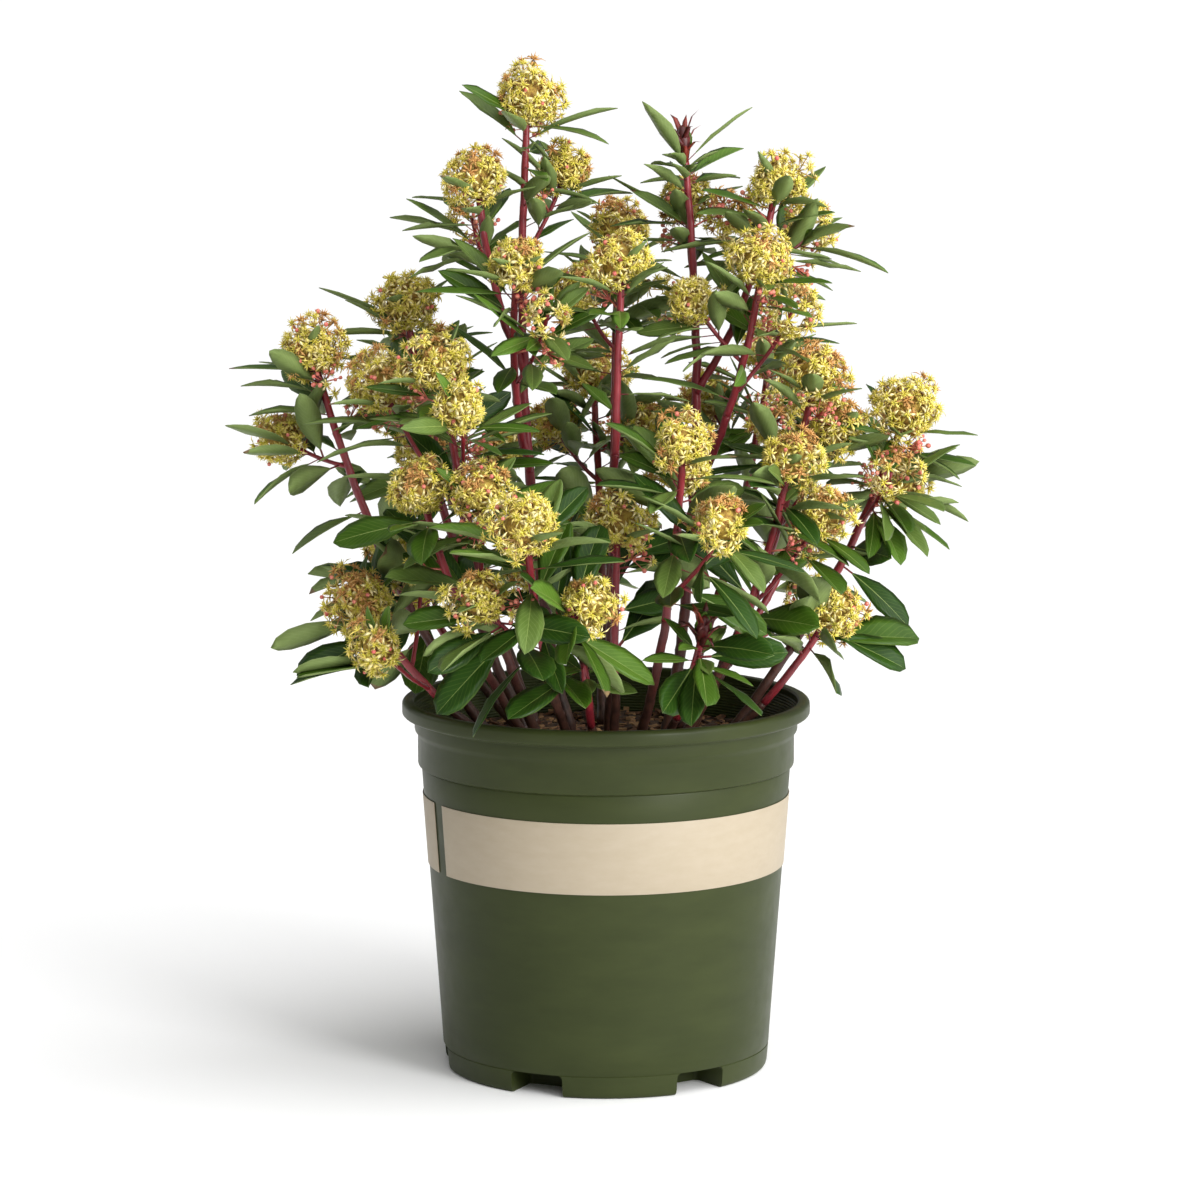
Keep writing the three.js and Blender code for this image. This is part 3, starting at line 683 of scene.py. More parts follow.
STEMS = {
    "top": stem(180, 0.051, 0.648, 2, 22, foot=0.024, spread=0.027, drop=0.047),
    "upper_left": stem(193, 0.087, 0.596, 2, 110, parent="top", at=0.58),
    "left_shoulder": stem(163, 0.140, 0.509, 3, 70),
    "left_outer": stem(180, 0.195, 0.482, 3, 20, spread=0.042, drop=0.040),
    "left_mid": stem(213, 0.129, 0.479, 3, 146, spread=0.050, drop=0.012),
    "left_low": stem(223, 0.163, 0.402, 2, 335, spread=0.043, drop=0.006),
    "left_bottom": stem(205, 0.1775, 0.326, 3, 280, foot=0.080, spread=0.060, drop=0.010),
    "centre_left": stem(226, 0.083, 0.543, 2, 300, parent="top", at=0.42, drop=0.020),
    "centre": stem(278, 0.070, 0.545, 3, 50, foot=0.026, spread=0.036, drop=0.012),
    "centre_low": stem(275, 0.084, 0.377, 2, 60, foot=0.060),
    "bud": stem(0, 0.051, 0.621, 2, 90, foot=0.040, drop=0.044, bud=True),
    "right_top": stem(0, 0.113, 0.593, 4, 252, parent="bud", at=0.58, drop=0.014),
    "right_upper": stem(334, 0.113, 0.544, 3, 24, parent="bud", at=0.42),
    "right_shoulder": stem(349, 0.140, 0.468, 3, 29, foot=0.052),
    "right_mid": stem(326, 0.144, 0.418, 2, 23),
    "right_outer": stem(0, 0.200, 0.442, 4, 140, spread=0.034, drop=0.030),
    "right_bottom": stem(341, 0.157, 0.316, 2, 129, foot=0.080, drop=0.006),
    "front_right": stem(288, 0.157, 0.436, 3, 307, spread=0.050),
    "front_left": stem(255, 0.196, 0.389, 3, 198, drop=0.046),
    "front_low_left": stem(264, 0.150, 0.305, 2, 240, foot=0.082, bud=True),
    "front_low_right": stem(293, 0.158, 0.318, 1, 300, foot=0.082, bud=True),
    "back_left": stem(132, 0.180, 0.440, 4, 100),
    "back": stem(93, 0.190, 0.450, 4, 60, foot=0.056),
    "back_right": stem(50, 0.178, 0.470, 4, 20),
    "back_top": stem(85, 0.095, 0.555, 4, 90),
    "back_low_left": stem(150, 0.170, 0.340, 3, 120),
    "back_low": stem(97, 0.175, 0.335, 3, 90, foot=0.084),
    "back_low_right": stem(40, 0.172, 0.345, 3, 45),
}
print(len(STEMS), "stems")

# %% Driving sizes of the wood
GAP = 0.0003  # between a stem's foot and the soil
FOOT_SHARE = 0.4  # a stem's foot stands at this share of its reach
FOOT_LIMIT = 0.084  # and no further out than this
TIP_RADIUS = 0.0019
FOOT_RADIUS = 0.0031
GIRTH = 0.0065  # added to the foot's radius for each metre of length
ROOT_FLARE = 0.35
STEM_SAG = 0.07  # of its length
STEM_SWAY = 0.08
SIDE_STEM_SHARE = 0.8  # of the radius of the stem that it leaves
SIDE_SHOOT_SHARE = 0.62
SIDE_TIP_SHARE = 0.8
LINE_STEP = 0.008  # between the spots that stand for a stretch of wood
CROWN_REACH = 0.253  # half the width of the plant
CROWN_DEPTH = 0.125  # the leafy stretch of a stem
CROWN_SHARE = 0.65  # and the most of its length that it may take up
HEAD_RADIUS = 0.020
HEAD_LUMPS = 0.1
HEAD_ROOM = 0.0234
HEADS_APART = 1.9  # in radii of a head
SPREAD = 0.038  # how far a side shoot stands out from its stem
DROP = 0.032  # how far its head is below the stem's own
DROP_STEP = 0.009
SHRINKS = (1, 0.9, 0.8, 0.7, 0.6, 0.5)
SHOOT_BEND = 0.45  # where along a side shoot its bend is
SHOOT_BULGE = 0.22
FIRST_SHOOT = 0.15
SHOOT_STEP = 0.2
SHOOT_ROOM = 0.008
GOLDEN_ANGLE = 137.5
MASK = 0xFFFFFFFF  # 32 bits


# %% Paths and seeded draws
def unit(vector):
    return vector / np.linalg.norm(vector)


def polar(bearing, reach, height):
    """A spot given by its bearing in degrees, its distance from the pot's middle line and its height."""
    angle = math.radians(bearing)
    return np.array([reach * math.cos(angle), reach * math.sin(angle), height])


def seeded(seed):
    """A repeatable stream of numbers from 0 to 1, mixed in the same way as for the solids."""
    state = seed & MASK

    def draw():
        nonlocal state
        state = (state + 0x6D2B79F5) & MASK
        mixed = ((state ^ (state >> 15)) * (state | 1)) & MASK
        mixed ^= (mixed + (mixed ^ (mixed >> 7)) * (mixed | 61)) & MASK
        return (mixed ^ (mixed >> 14)) / 4294967296

    return draw


class Path:
    """A line that bends once, measured by the share of its length."""

    def __init__(self, start, bend, end):
        self.start, self.bend, self.end = start, bend, end
        self.steps = np.linspace(0, 1, 201)
        spots = np.array([self.spot(step) for step in self.steps])
        gaps = np.linalg.norm(np.diff(spots, axis=0), axis=1)
        self.lengths = np.concatenate([[0], np.cumsum(gaps)])
        self.length = self.lengths[-1]

    def spot(self, step):
        return (1 - step) ** 2 * self.start + 2 * step * (1 - step) * self.bend + step**2 * self.end

    def step_at(self, share):
        return np.interp(share * self.length, self.lengths, self.steps)

    def at(self, share):
        return self.spot(self.step_at(share))

    def some(self, shares):
        return np.array([self.at(share) for share in shares])

    def heading(self, share):
        step = self.step_at(share)
        return unit((1 - step) * (self.bend - self.start) + step * (self.end - self.bend))


def sideways(heading):
    """Two directions square to a heading, and to each other."""
    right = unit(np.array([1.0, 0, 0]) - heading[0] * heading)
    return right, np.cross(heading, right)


def around(heading, turn):
    """A direction square to a heading, turned round it."""
    right, back = sideways(heading)
    return right * math.cos(turn) + back * math.sin(turn)


def tilted(lean, turn):
    """A direction that leans away from Z."""
    return np.array([math.sin(lean) * math.cos(turn), math.sin(lean) * math.sin(turn), math.cos(lean)])


# %% Stems, shoots and heads
def points_along(path, start, end, radius):
    """Spots down the middle of a stretch of wood, each with its radius."""
    count = math.ceil(path.length * (end - start) / LINE_STEP)
    shares = [start + (end - start) * k / count for k in range(count + 1)]
    return [(*path.at(share), radius(share)) for share in shares]


def rooms_to(line, spots):
    """How far each of some spots is from the nearest surface of a line's wood and heads."""
    apart = np.linalg.norm(line[None, :, :3] - spots[:, None], axis=2) - line[None, :, 3]
    return apart.min(axis=1)


def tapering(wide, narrow):
    """A radius that changes evenly from one end of the wood to the other."""
    return lambda share: wide + (narrow - wide) * share


def plan_stems():
    """Makes each row of the table a path with a radius. Side stems start on their parent."""
    plans = {}
    for index, (name, row) in enumerate(STEMS.items()):
        draw = seeded(1000 + index)
        tip = polar(row["bearing"], row["reach"], row["height"])
        parent = plans.get(row.get("parent"))
        foot_reach = row.get("foot", min(row["reach"] * FOOT_SHARE, FOOT_LIMIT))
        foot = polar(row["bearing"], foot_reach, SOIL_LEVEL + GAP)
        if parent:
            foot = parent["path"].at(row["at"])
        length = np.linalg.norm(tip - foot)
        outward = polar(row["bearing"], 1, 0)
        bend = (foot + tip) / 2 + outward * STEM_SAG * length
        bend[2] -= STEM_SAG * length
        bend += np.cross(outward, [0, 0, 1]) * (draw() - 0.5) * STEM_SWAY * length
        path = Path(foot, bend, tip)
        wide = FOOT_RADIUS + GIRTH * path.length
        if parent:
            wide = parent["radius"](row["at"]) * SIDE_STEM_SHARE
        split = 1 - min(CROWN_DEPTH / path.length, CROWN_SHARE)
        plans[name] = dict(
            row, name=name, index=index, tip=tip, path=path, outward=outward, split=split,
            grafted=parent is not None, radius=tapering(wide, TIP_RADIUS), shoots=[], heads=[], line=[],
        )
    return plans


def add_shoot(plan, path, start, radius, bud):
    plan["shoots"].append(dict(path=path, start=start, radius=radius, bud=bud))
    plan["line"] += points_along(path, start, 1, radius)
    if not bud:
        plan["heads"].append(path.at(1))
        plan["line"].append((*path.at(1), HEAD_RADIUS * (1 + HEAD_LUMPS)))


def clear_of_pot(spot, margin):
    """Above the pot, outside it, or inside its neck and above the soil."""
    reach = math.hypot(spot[0], spot[1])
    if spot[2] > POT_HEIGHT + margin or reach > LIP_RADIUS + margin:
        return True
    return reach < NECK_RADIUS - WALL_THICKNESS - margin and spot[2] > SOIL_LEVEL + margin


def add_side_shoots(plan, plans, wood):
    """Side shoots that come too near to others are drawn in, then left out."""
    path, split = plan["path"], plan["split"]
    others = [point for other in plans.values() if other is not plan for point in other["line"]]
    everything = np.vstack([wood, np.array(others)])
    for k in range(plan["count"] - 1):
        turn = math.radians(plan["turn"] + k * GOLDEN_ANGLE)
        leave = split + (1 - split) * (FIRST_SHOOT + SHOOT_STEP * k)
        start, heading = path.at(leave), path.heading(leave)
        aside = around(heading, turn)
        drop = plan.get("drop", DROP) + DROP_STEP * k
        for shrink in SHRINKS:
            spread = plan.get("spread", SPREAD) * shrink
            end = plan["tip"] - heading * drop + aside * spread
            bend = start + (end - start) * SHOOT_BEND + aside * SHOOT_BULGE * spread
            side_path = Path(start, bend, end)
            fits = (
                clear_of_pot(end, HEAD_ROOM)
                and max(abs(end[0]), abs(end[1])) < CROWN_REACH - HEAD_ROOM
                and rooms_to(everything, end[None]).min() > HEAD_ROOM
                and all(np.linalg.norm(head - end) > HEADS_APART * HEAD_RADIUS for head in plan["heads"])
                and rooms_to(everything, side_path.some((0.4, 0.6, 0.8))).min() > SHOOT_ROOM
            )
            if fits:
                radius = tapering(plan["radius"](leave) * SIDE_SHOOT_SHARE, TIP_RADIUS * SIDE_TIP_SHARE)
                add_shoot(plan, side_path, 0, radius, False)
                break


plans = plan_stems()
wood = []
for plan in plans.values():
    wood += points_along(plan["path"], 0, plan["split"], plan["radius"])
wood = np.array(wood)
for plan in plans.values():
    add_shoot(plan, plan["path"], plan["split"], plan["radius"], plan.get("bud", False))
for plan in plans.values():
    add_side_shoots(plan, plans, wood)
for plan in plans.values():
    plan["line"] = np.array(plan["line"])
shoots = [shoot for plan in plans.values() for shoot in plan["shoots"]]
heads = np.array([head for plan in plans.values() for head in plan["heads"]])
print(len(shoots), "shoots and", len(heads), "flower heads")

# %% [markdown]
# ## The wood
#
# Old wood low down is brown-grey and finely ridged. Higher up the bark is smooth and crimson, with a
# slight swelling at every place where a leaf has been. A curve with a round bevel would give plain
# rods. Here one tube is made along each path from rings a few millimetres apart, so that the
# swellings, the ridges and the slight crookedness are all real shape. Real wood also tapers less than
# the rods of the solids, so a tube's radius is a fixed part and a share of the rod's.

# %% Tubes of wood
RING_STEP = 0.0035
NODE_STEP = 0.013  # between leaf scars
SCAR_SWELLING = 0.16
SCAR_SHARPNESS = 9
SCAR_ALL_ROUND = 0.35  # the share of the swelling on every side
SCAR_FACE = 0.9  # and the share that is added where the leaf was
BARK_RIDGES = 0.05
RIDGES_ROUND = 4
RIDGE_SCALE = 60
WOOD_SIDES = 10
TWIG_SIDES = 8
WOOD_SHARE = 0.42  # of the rod's radius
STEM_REST = 0.0014  # the fixed part
SIDE_REST = 0.0007
FLARE_FADE = 12
CROOK_SCALE = 45
STEADY_ENDS = 40  # the crook fades out over one part in this many of the path, at both ends
SEED_STEP = 3.7  # keeps the noise of two tubes apart
OTHER_NOISE = Vector((0, 0, 9))
STEM_CROOK = 0.0018
TWIG_CROOK = 0.0007
TWIG_OVERLAP = 0.004


def wood_tube(bundle, path, start, end, radius, sides, seed, crook, level=None):
    """A tube with swellings, ridges and a slightly crooked course."""
    count = max(4, math.ceil(path.length * (end - start) / RING_STEP))
    spots, uvs = [], []
    for i in range(count + 1):
        share = start + (end - start) * i / count
        middle, heading = path.at(share), path.heading(share)
        right, back = sideways(heading)
        along = share * path.length
        steady = min(1, STEADY_ENDS * (share - start), STEADY_ENDS * (end - share))
        wander = Vector((along * CROOK_SCALE, seed * SEED_STEP, 0))
        middle = middle + right * noise.noise(wander) * crook * steady
        middle = middle + back * noise.noise(wander + OTHER_NOISE) * crook * steady
        phase = (along / NODE_STEP) % 1
        swelling = 1 + SCAR_SWELLING * math.exp(-((phase - 0.5) * SCAR_SHARPNESS) ** 2)
        scar_turn = math.radians(GOLDEN_ANGLE * math.floor(along / NODE_STEP))
        for j in range(sides):
            turn = math.tau * j / sides
            grain = Vector((RIDGES_ROUND * math.cos(turn), RIDGES_ROUND * math.sin(turn), 0))
            grain.z = along * RIDGE_SCALE + seed
            ridge = 1 + BARK_RIDGES * noise.noise(grain)
            facing = max(0, math.cos(turn - scar_turn))
            wide = radius(share) * ridge * (1 + (swelling - 1) * (SCAR_ALL_ROUND + SCAR_FACE * facing))
            spot = middle + right * math.cos(turn) * wide + back * math.sin(turn) * wide
            if level is not None and i == 0:
                spot = spot + heading * (level - spot[2]) / heading[2]
            spots.append(spot)
            uvs.append((j / sides, along))
    faces = ring_faces(count + 1, sides)
    faces.append(tuple(range(sides))[::-1])
    faces.append(tuple(count * sides + j for j in range(sides)))
    bundle.add(spots, faces, 0, uvs)


def flared(plan):
    """A stem from the soil widens at its foot."""
    end = plan["split"]
    flare = 0 if plan["grafted"] else ROOT_FLARE
    return lambda share: plan["radius"](share) * (1 + flare * math.exp(-FLARE_FADE * share / end))


def true_radius(radius, rest):
    """Real wood tapers less than the plain rods of the solids: a fixed part and a share of the rod."""
    return lambda share: rest + WOOD_SHARE * radius(share)


stem_bundle = Bundle()
twig_bundle = Bundle()
for plan in plans.values():
    level = None if plan["grafted"] else SOIL_LEVEL + GAP
    radius = true_radius(flared(plan), STEM_REST)
    stem_end, seed = plan["split"], plan["index"]
    wood_tube(stem_bundle, plan["path"], 0, stem_end, radius, WOOD_SIDES, seed, STEM_CROOK, level)
    for k, shoot in enumerate(plan["shoots"]):
        first = 0 if k else shoot["start"] - TWIG_OVERLAP
        radius = true_radius(shoot["radius"], SIDE_REST if k else STEM_REST)
        wood_tube(twig_bundle, shoot["path"], first, 1, radius, TWIG_SIDES, seed + 40 * k, TWIG_CROOK)
print("Wood corners:", len(stem_bundle.spots) + len(twig_bundle.spots))


# %% Bark
OLD_BARK_BELOW = 0.34
YOUNG_BARK_ABOVE = 0.46
BARK_RAGGEDNESS = 0.16  # how far up and down the change between them wanders


def bark_material():
    """Crimson bark that turns brown-grey towards the soil."""
    made = mottled("shrub_bark", (124, 34, 42), (90, 22, 30), 120, 0.42, 0.0006, (1, 1, 0.35))
    set_reflection(made, 0.35)
    tree = made.node_tree
    tones = {"Tone A": tone(84, 54, 44), "Tone B": tone(54, 34, 28), "Scale": 160}
    old = add_node(tree, "Group", tones, node_tree=MOTTLE)
    place = add_node(tree, "TexCoord")
    height = add_node(tree, "SeparateXYZ")
    ragged = add_node(tree, "TexNoise", {"Scale": 22})
    shift = add_node(tree, "Math", {1: BARK_RAGGEDNESS}, operation="MULTIPLY_ADD")
    age = add_node(tree, "MapRange", {"From Min": OLD_BARK_BELOW, "From Max": YOUNG_BARK_ABOVE})
    blend = add_node(tree, "Mix", data_type="RGBA")
    wire(
        tree, (place, "Object", height, "Vector"), (place, "Object", old, "Vector"),
        (place, "Object", ragged, "Vector"), (ragged, "Fac", shift, 0), (height, "Z", shift, 2),
        (shift, "Value", age, "Value"), (age, "Result", blend, "Factor"), (old, "Color", blend, "A"),
        (tree.nodes["mottle"], "Color", blend, "B"), (blend, "Result", shader_of(made), "Base Color"),
    )
    return made


young_bark = mottled("young_bark", (144, 42, 50), (110, 28, 38), 150, 0.38, 0.0004, (1, 1, 0.35))
stems = stem_bundle.make("stems", [bark_material()])
hand_in(stems, "stem", *[f"stem_{name}" for name in STEMS])
twigs = twig_bundle.make("twigs", [young_bark])
hand_in(twigs, "foliage")

# %% [markdown]
# ## The leaves
#
# A leaf is leathery and widest past its middle, on a short crimson stalk, with a pale midrib, a dark
# satin upper side and a paler, duller underside. One flat card with a picture would do from afar, but
# here each leaf is a thin closed body with both sides and the midrib as faces of their own, so that
# it catches light like a real one. It is folded along the midrib, bent back towards its tip, twisted
# a little, and each is different. High in the crown the leaves are narrow and pointed, and near the
# pot they are broader and rounder.

# %% One leaf
LEAF_LENGTH = 0.058
LEAF_WIDTH = 0.017
HIGH_WIDTH = 0.8  # leaves high in the crown are narrower
LEAF_THICKNESS = 0.0004
STALK_SHARE = 0.15
LEAF_STATIONS = np.array([0, 0.08, 0.16, 0.28, 0.44, 0.62, 0.8, 0.93, 1])
STALK_WIDTH = 0.08  # of the blade's
TIP_WIDTH = 0.01
BEND_POWER = 1.4  # a leaf bends most near its tip
RIB_WIDTH = 0.00042  # half of it
RIB_GROOVE = 0.00015  # the midrib lies this far below the blade
RIB_KEEL = 0.0003
BLADE_BULGE = 0.3
# round each station: the share of the half width, the side of the rib, and 1 above, 0 at the edge, -1 below
LEAF_SECTION = ((-1, 0, 0), (-0.55, 0, 1), (0, -1, 1), (0, 1, 1), (0.55, 0, 1), (1, 0, 0), (0, 0, -1))
LEAF_RING = len(LEAF_SECTION)
# The darkest green is partly painted shade under the crown, and the pale grey-green is painted sheen.
LEAF_LOOKS = numbered("dark_and_shade", "green", "young", "sheen_green", "under", "rib", "stalk", "tip")


def leaf_half_widths(base, tip):
    """The outline: a narrow stalk, then a blade. A smaller power makes that end rounder."""
    blade = np.clip((LEAF_STATIONS - STALK_SHARE) / (1 - STALK_SHARE), 0, 1)
    shape = blade**base * (1 - blade) ** tip
    return np.maximum(shape / shape.max(), np.where(LEAF_STATIONS < 0.5, STALK_WIDTH, TIP_WIDTH))


def leaf_faces(top_look, brown_tip):
    """Faces and their looks: five strips above and two below, and the two ends closed."""
    strips = [top_look, top_look, LEAF_LOOKS["rib"], top_look, top_look] + [LEAF_LOOKS["under"]] * 2
    looks = []
    for station in LEAF_STATIONS[:-1]:
        looks += [LEAF_LOOKS["stalk"]] * LEAF_RING if station < STALK_SHARE else strips
    if brown_tip:
        looks[-LEAF_RING:] = [LEAF_LOOKS["tip"]] * LEAF_RING
    faces = ring_faces(len(LEAF_STATIONS), LEAF_RING)
    faces.append(tuple(reversed(range(LEAF_RING))))
    faces.append(tuple(LEAF_RING * (len(LEAF_STATIONS) - 1) + corner for corner in range(LEAF_RING)))
    return faces, looks + [LEAF_LOOKS["stalk"], looks[-1]]


POINTED = leaf_half_widths(0.95, 0.86)  # high in the crown
ROUNDED = leaf_half_widths(1.1, 0.62)  # near the pot


def leaf_spots(length, width, bend, fold, twist, wave, low=0):
    """A leaf's corners: x across it, y along it and z up from its upper side."""
    turned = bend * LEAF_STATIONS**BEND_POWER
    steps = np.diff(LEAF_STATIONS, prepend=0) * length
    along, rise = np.cumsum(steps * np.cos(turned)), -np.cumsum(steps * np.sin(turned))
    half = (POINTED + (ROUNDED - POINTED) * low) * width / 2
    rib = np.minimum(RIB_WIDTH * (1.15 - LEAF_STATIONS), half * 0.6)
    thick = LEAF_THICKNESS * np.clip(half / half.max() + 0.5, 0, 1)
    spots = np.empty((len(LEAF_STATIONS), LEAF_RING, 3))
    uvs = np.empty((len(LEAF_STATIONS), LEAF_RING, 2))
    ripple = np.sin(LEAF_STATIONS * wave[0] + wave[1]) * wave[2]
    angle = twist * LEAF_STATIONS
    for column, (share, ribs, side) in enumerate(LEAF_SECTION):
        across = share * half + ribs * rib
        off = np.abs(across)
        lift = off * fold
        if side:
            lift += BLADE_BULGE * off * (1 - off / half)
        lift += side * thick / 2 + ripple * (across / half.max()) ** 2
        if share == 0:
            lift -= RIB_GROOVE if side > 0 else RIB_KEEL
        x = across * np.cos(angle) - lift * np.sin(angle)
        z = across * np.sin(angle) + lift * np.cos(angle)
        spots[:, column] = np.stack([x, along + z * np.sin(turned), rise + z * np.cos(turned)], axis=1)
        uvs[:, column, 0] = LEAF_STATIONS
        uvs[:, column, 1] = 0.5 + share / 2
    return spots.reshape(-1, 3), uvs.reshape(-1, 2)


sample, _ = leaf_spots(LEAF_LENGTH, LEAF_WIDTH, 0.3, 0.25, 0, (0, 0, 0))
print("One leaf has", len(sample), "corners and", len(leaf_faces(0, False)[0]), "faces")

# %% [markdown]
# ### Where the leaves stand
#
# Leaves stand round a shoot by the golden angle, close together in a rosette under the flower head and
# further apart down the wood. High in the crown they hold up, and near the pot they are larger and hang
# a little. The lowest wood is bare, and no leaf covers a head from outside. Geometry Nodes could
# scatter leaves over the wood, but couldn't keep them clear of everything else. Here a leaf that would
# run into the pot, a flower head, a stem or another mass is turned, then shortened, then left out.

# %% Places for leaves
ROSETTE_LEAVES = 8
ROSETTE_START = 0.015
ROSETTE_STEP = 0.003
ROSETTE_LEAN = 46  # degrees from the shoot
ROSETTE_LEAN_STEP = 3.5
LOWER_START = 0.045
LOWER_STEP = 0.0135
LOWER_LEAN = 68
MOST_LEAVES = 15  # on a shoot
HIGH_ABOVE = 0.44  # leaves above this are high ones
LOW_BELOW = 0.14  # and those this far below it are low ones
LEAF_OVERHANG = 0.018  # how much nearer to another stem than to its own a leaf may be
LEAF_TESTS = (0.35, 0.6, 0.8, 1.0)  # where along a leaf its room is tested
LEAF_SINK = 0.06  # the slope that its own weight gives a leaf
BROWN_TIPS = 0.06  # the share of the leaves that have one
HIGH_ROLL = 30  # how far blades turn from facing up, in degrees from side to side
LOW_ROLL = 130
TURNED_SHARE = 0.22  # this share of the high leaves turns as far as the low ones
LOW_LEAF_GAIN = 0.16  # leaves near the pot are larger
RIM_ROOM = 0.004  # outside the pot, no leaf hangs lower than this above its rim
HIGH_SLOPE = -0.12  # no leaf points further down than this
LOW_SLOPE = -0.75
BARE_BELOW = {"left": 0.29, "middle": 0.29, "right": 0.285, "back": 0.29}
LOWEST_TIP = {"left": 0.315, "middle": 0.262, "right": 0.25, "back": 0.25}  # over the pot
SMALLEST_LEAF = 0.84
SIZE_RANGE = 0.3
TURN_RANGE = 40  # degrees
LEAN_RANGE = 50
LEAF_SIZES = (1, 0.86, 0.72)  # tried one after the other
CLEAR_AHEAD = 0.06  # in front of a head, seen from outside the plant, no leaf stands this near
CLEAR_ASIDE = 0.75  # of a head's radius, to each side
LEAF_TURNS = 9
WOOD_ROOM = 0.002
HEAD_SHARE = 0.85  # of a head's radius: no leaf comes nearer to its middle
POT_ROOM = 0.002
LEAVES_APART = 0.009


# the way out of the plant through each head
head_fronts = np.array([unit((head - [0, 0, POT_HEIGHT]) * [1, 1, 0.35]) for head in heads])


def lowness(spot):
    """From 0 in the upper crown to 1 near the pot."""
    return min(1, max(0, (HIGH_ABOVE - spot[2]) / LOW_BELOW))


leaf_marks = []


def leaf_fits(root, heading, length, plan):
    """Tests spots along the midrib against everything that a leaf keeps clear of."""
    spots = root + np.outer(LEAF_TESTS, heading * length)
    if np.abs(spots[:, :2]).max() > CROWN_REACH:
        return False
    over_pot = np.hypot(spots[:, 0], spots[:, 1]) < LIP_RADIUS
    if (over_pot & (spots[:, 2] < LOWEST_TIP[group_of[plan["name"]]])).any():
        return False
    if not all(clear_of_pot(spot, POT_ROOM) for spot in spots):
        return False
    if (~over_pot & (spots[:, 2] < POT_HEIGHT + RIM_ROOM)).any():
        return False
    from_heads = spots[:, None] - heads[None]
    if np.linalg.norm(from_heads, axis=2).min() < HEAD_RADIUS * HEAD_SHARE:
        return False
    ahead = (from_heads * head_fronts).sum(axis=2)
    aside = np.linalg.norm(from_heads - ahead[..., None] * head_fronts, axis=2)
    if ((ahead > 0) & (ahead < CLEAR_AHEAD) & (aside < HEAD_RADIUS * CLEAR_ASIDE)).any():
        return False
    if rooms_to(wood, spots).min() < WOOD_ROOM:
        return False
    limit = rooms_to(plan["line"], spots) - LEAF_OVERHANG
    for other in plans.values():
        if other is not plan and (rooms_to(other["line"], spots) < limit).any():
            return False
    if leaf_marks:
        near = np.linalg.norm(np.array(leaf_marks) - np.concatenate([spots[1], spots[3]]), axis=1)
        return near.min() > LEAVES_APART
    return True


def place_leaf(leaves, shoot, k, plan, seed, back, lean_middle):
    """Finds a place for one leaf, back from the shoot's end, and adds it if there is one."""
    path = shoot["path"]
    share = 1 - back / path.length
    if share < shoot["start"] + 0.001 / path.length:
        return
    draw = seeded(seed)
    root, axis = path.at(share), path.heading(share)
    if root[2] < BARE_BELOW[group_of[plan["name"]]]:
        return
    right, behind = sideways(axis)
    low = lowness(root)
    size = (SMALLEST_LEAF + SIZE_RANGE * draw()) * (1 + LOW_LEAF_GAIN * low)
    most_roll = LOW_ROLL if draw() < max(low, TURNED_SHARE) else HIGH_ROLL
    roll = math.radians(most_roll * (draw() - 0.5))
    outward = math.degrees(math.atan2(plan["outward"] @ behind, plan["outward"] @ right))
    base = outward + GOLDEN_ANGLE * k + TURN_RANGE * (draw() - 0.5)
    for tries in range(len(LEAF_SIZES) * LEAF_TURNS):
        turn = math.radians(base + 360 / LEAF_TURNS * (tries % LEAF_TURNS))
        scale = size * LEAF_SIZES[tries // LEAF_TURNS]
        lean = math.radians(lean_middle + LEAN_RANGE * (draw() - 0.3))
        heading = axis * math.cos(lean) + around(axis, turn) * math.sin(lean)
        rise = max(heading[2] - LEAF_SINK, HIGH_SLOPE + (LOW_SLOPE - HIGH_SLOPE) * low)
        heading = unit(heading * [1, 1, 0]) * math.sqrt(1 - rise**2) + [0, 0, rise]
        if leaf_fits(root, heading, LEAF_LENGTH * scale, plan):
            add_leaf(leaves, root, heading, axis, roll, scale, draw)
            return


def lay_leaf(leaves, leaf, root, side, heading, up, look, brown_tip=False):
    """Puts a leaf's corners and faces in the bundle, with its stalk's foot at the root."""
    spots, uvs = leaf
    faces, looks = leaf_faces(LEAF_LOOKS[look], brown_tip)
    leaves.add(spots @ np.array([side, heading, up]) + root, faces, looks, uvs)


# Low leaves mostly take the darkest green, partly painted shade; high leaves mostly the painted sheen.
LOW_TONES = ("dark_and_shade", "dark_and_shade", "dark_and_shade", "dark_and_shade", "green", "green")
HIGH_TONES = ("sheen_green", "sheen_green", "sheen_green", "green", "green", "young")


def add_leaf(leaves, root, heading, axis, roll, scale, draw):
    """Shapes one leaf, turns its blade mostly to the sky, and notes where it is."""
    low = lowness(root)
    sky = axis * 0.5 + [0, 0, 0.8]
    up = unit(sky - (sky @ heading) * heading)
    side = np.cross(heading, up)
    c, s = math.cos(roll), math.sin(roll)
    up, side = up * c + side * s, side * c - up * s
    width = LEAF_WIDTH * scale**1.4 * (0.85 + 0.35 * draw()) * (HIGH_WIDTH + (1 - HIGH_WIDTH) * low)
    wave = (9 + 8 * draw(), 6 * draw(), 0.0012 * draw())
    bend, fold, twist = 0.36 * draw(), 0.12 + 0.35 * draw(), 0.5 * (draw() - 0.5)
    leaf = leaf_spots(LEAF_LENGTH * scale, width, bend, fold, twist, wave, low)
    # Low down the darker tones partly paint shade; high up the pale grey-green paints sheen.
    tones = LOW_TONES if draw() < low else HIGH_TONES
    look = tones[int(draw() * len(tones))]
    lay_leaf(leaves, leaf, root, side, heading, up, look, draw() < BROWN_TIPS)
    leaf_marks.append(np.concatenate([root + heading * LEAF_LENGTH * scale * part for part in (0.6, 1)]))


# %% Young leaves at the ends of the shoots
HEAD_LEAF = 0.036
HEAD_LEAF_WIDTH = 0.0105
HEAD_LEAF_BACK = 0.006  # from the end of the shoot
MOST_HEAD_LEAVES = 2
BUD_LEAVES = 8
BUD_LEAF_BACK = 0.014
BUD_LEAF_STEP = 0.002
BUD_LEAF_TURN = 90  # the first one stands upright behind the bud


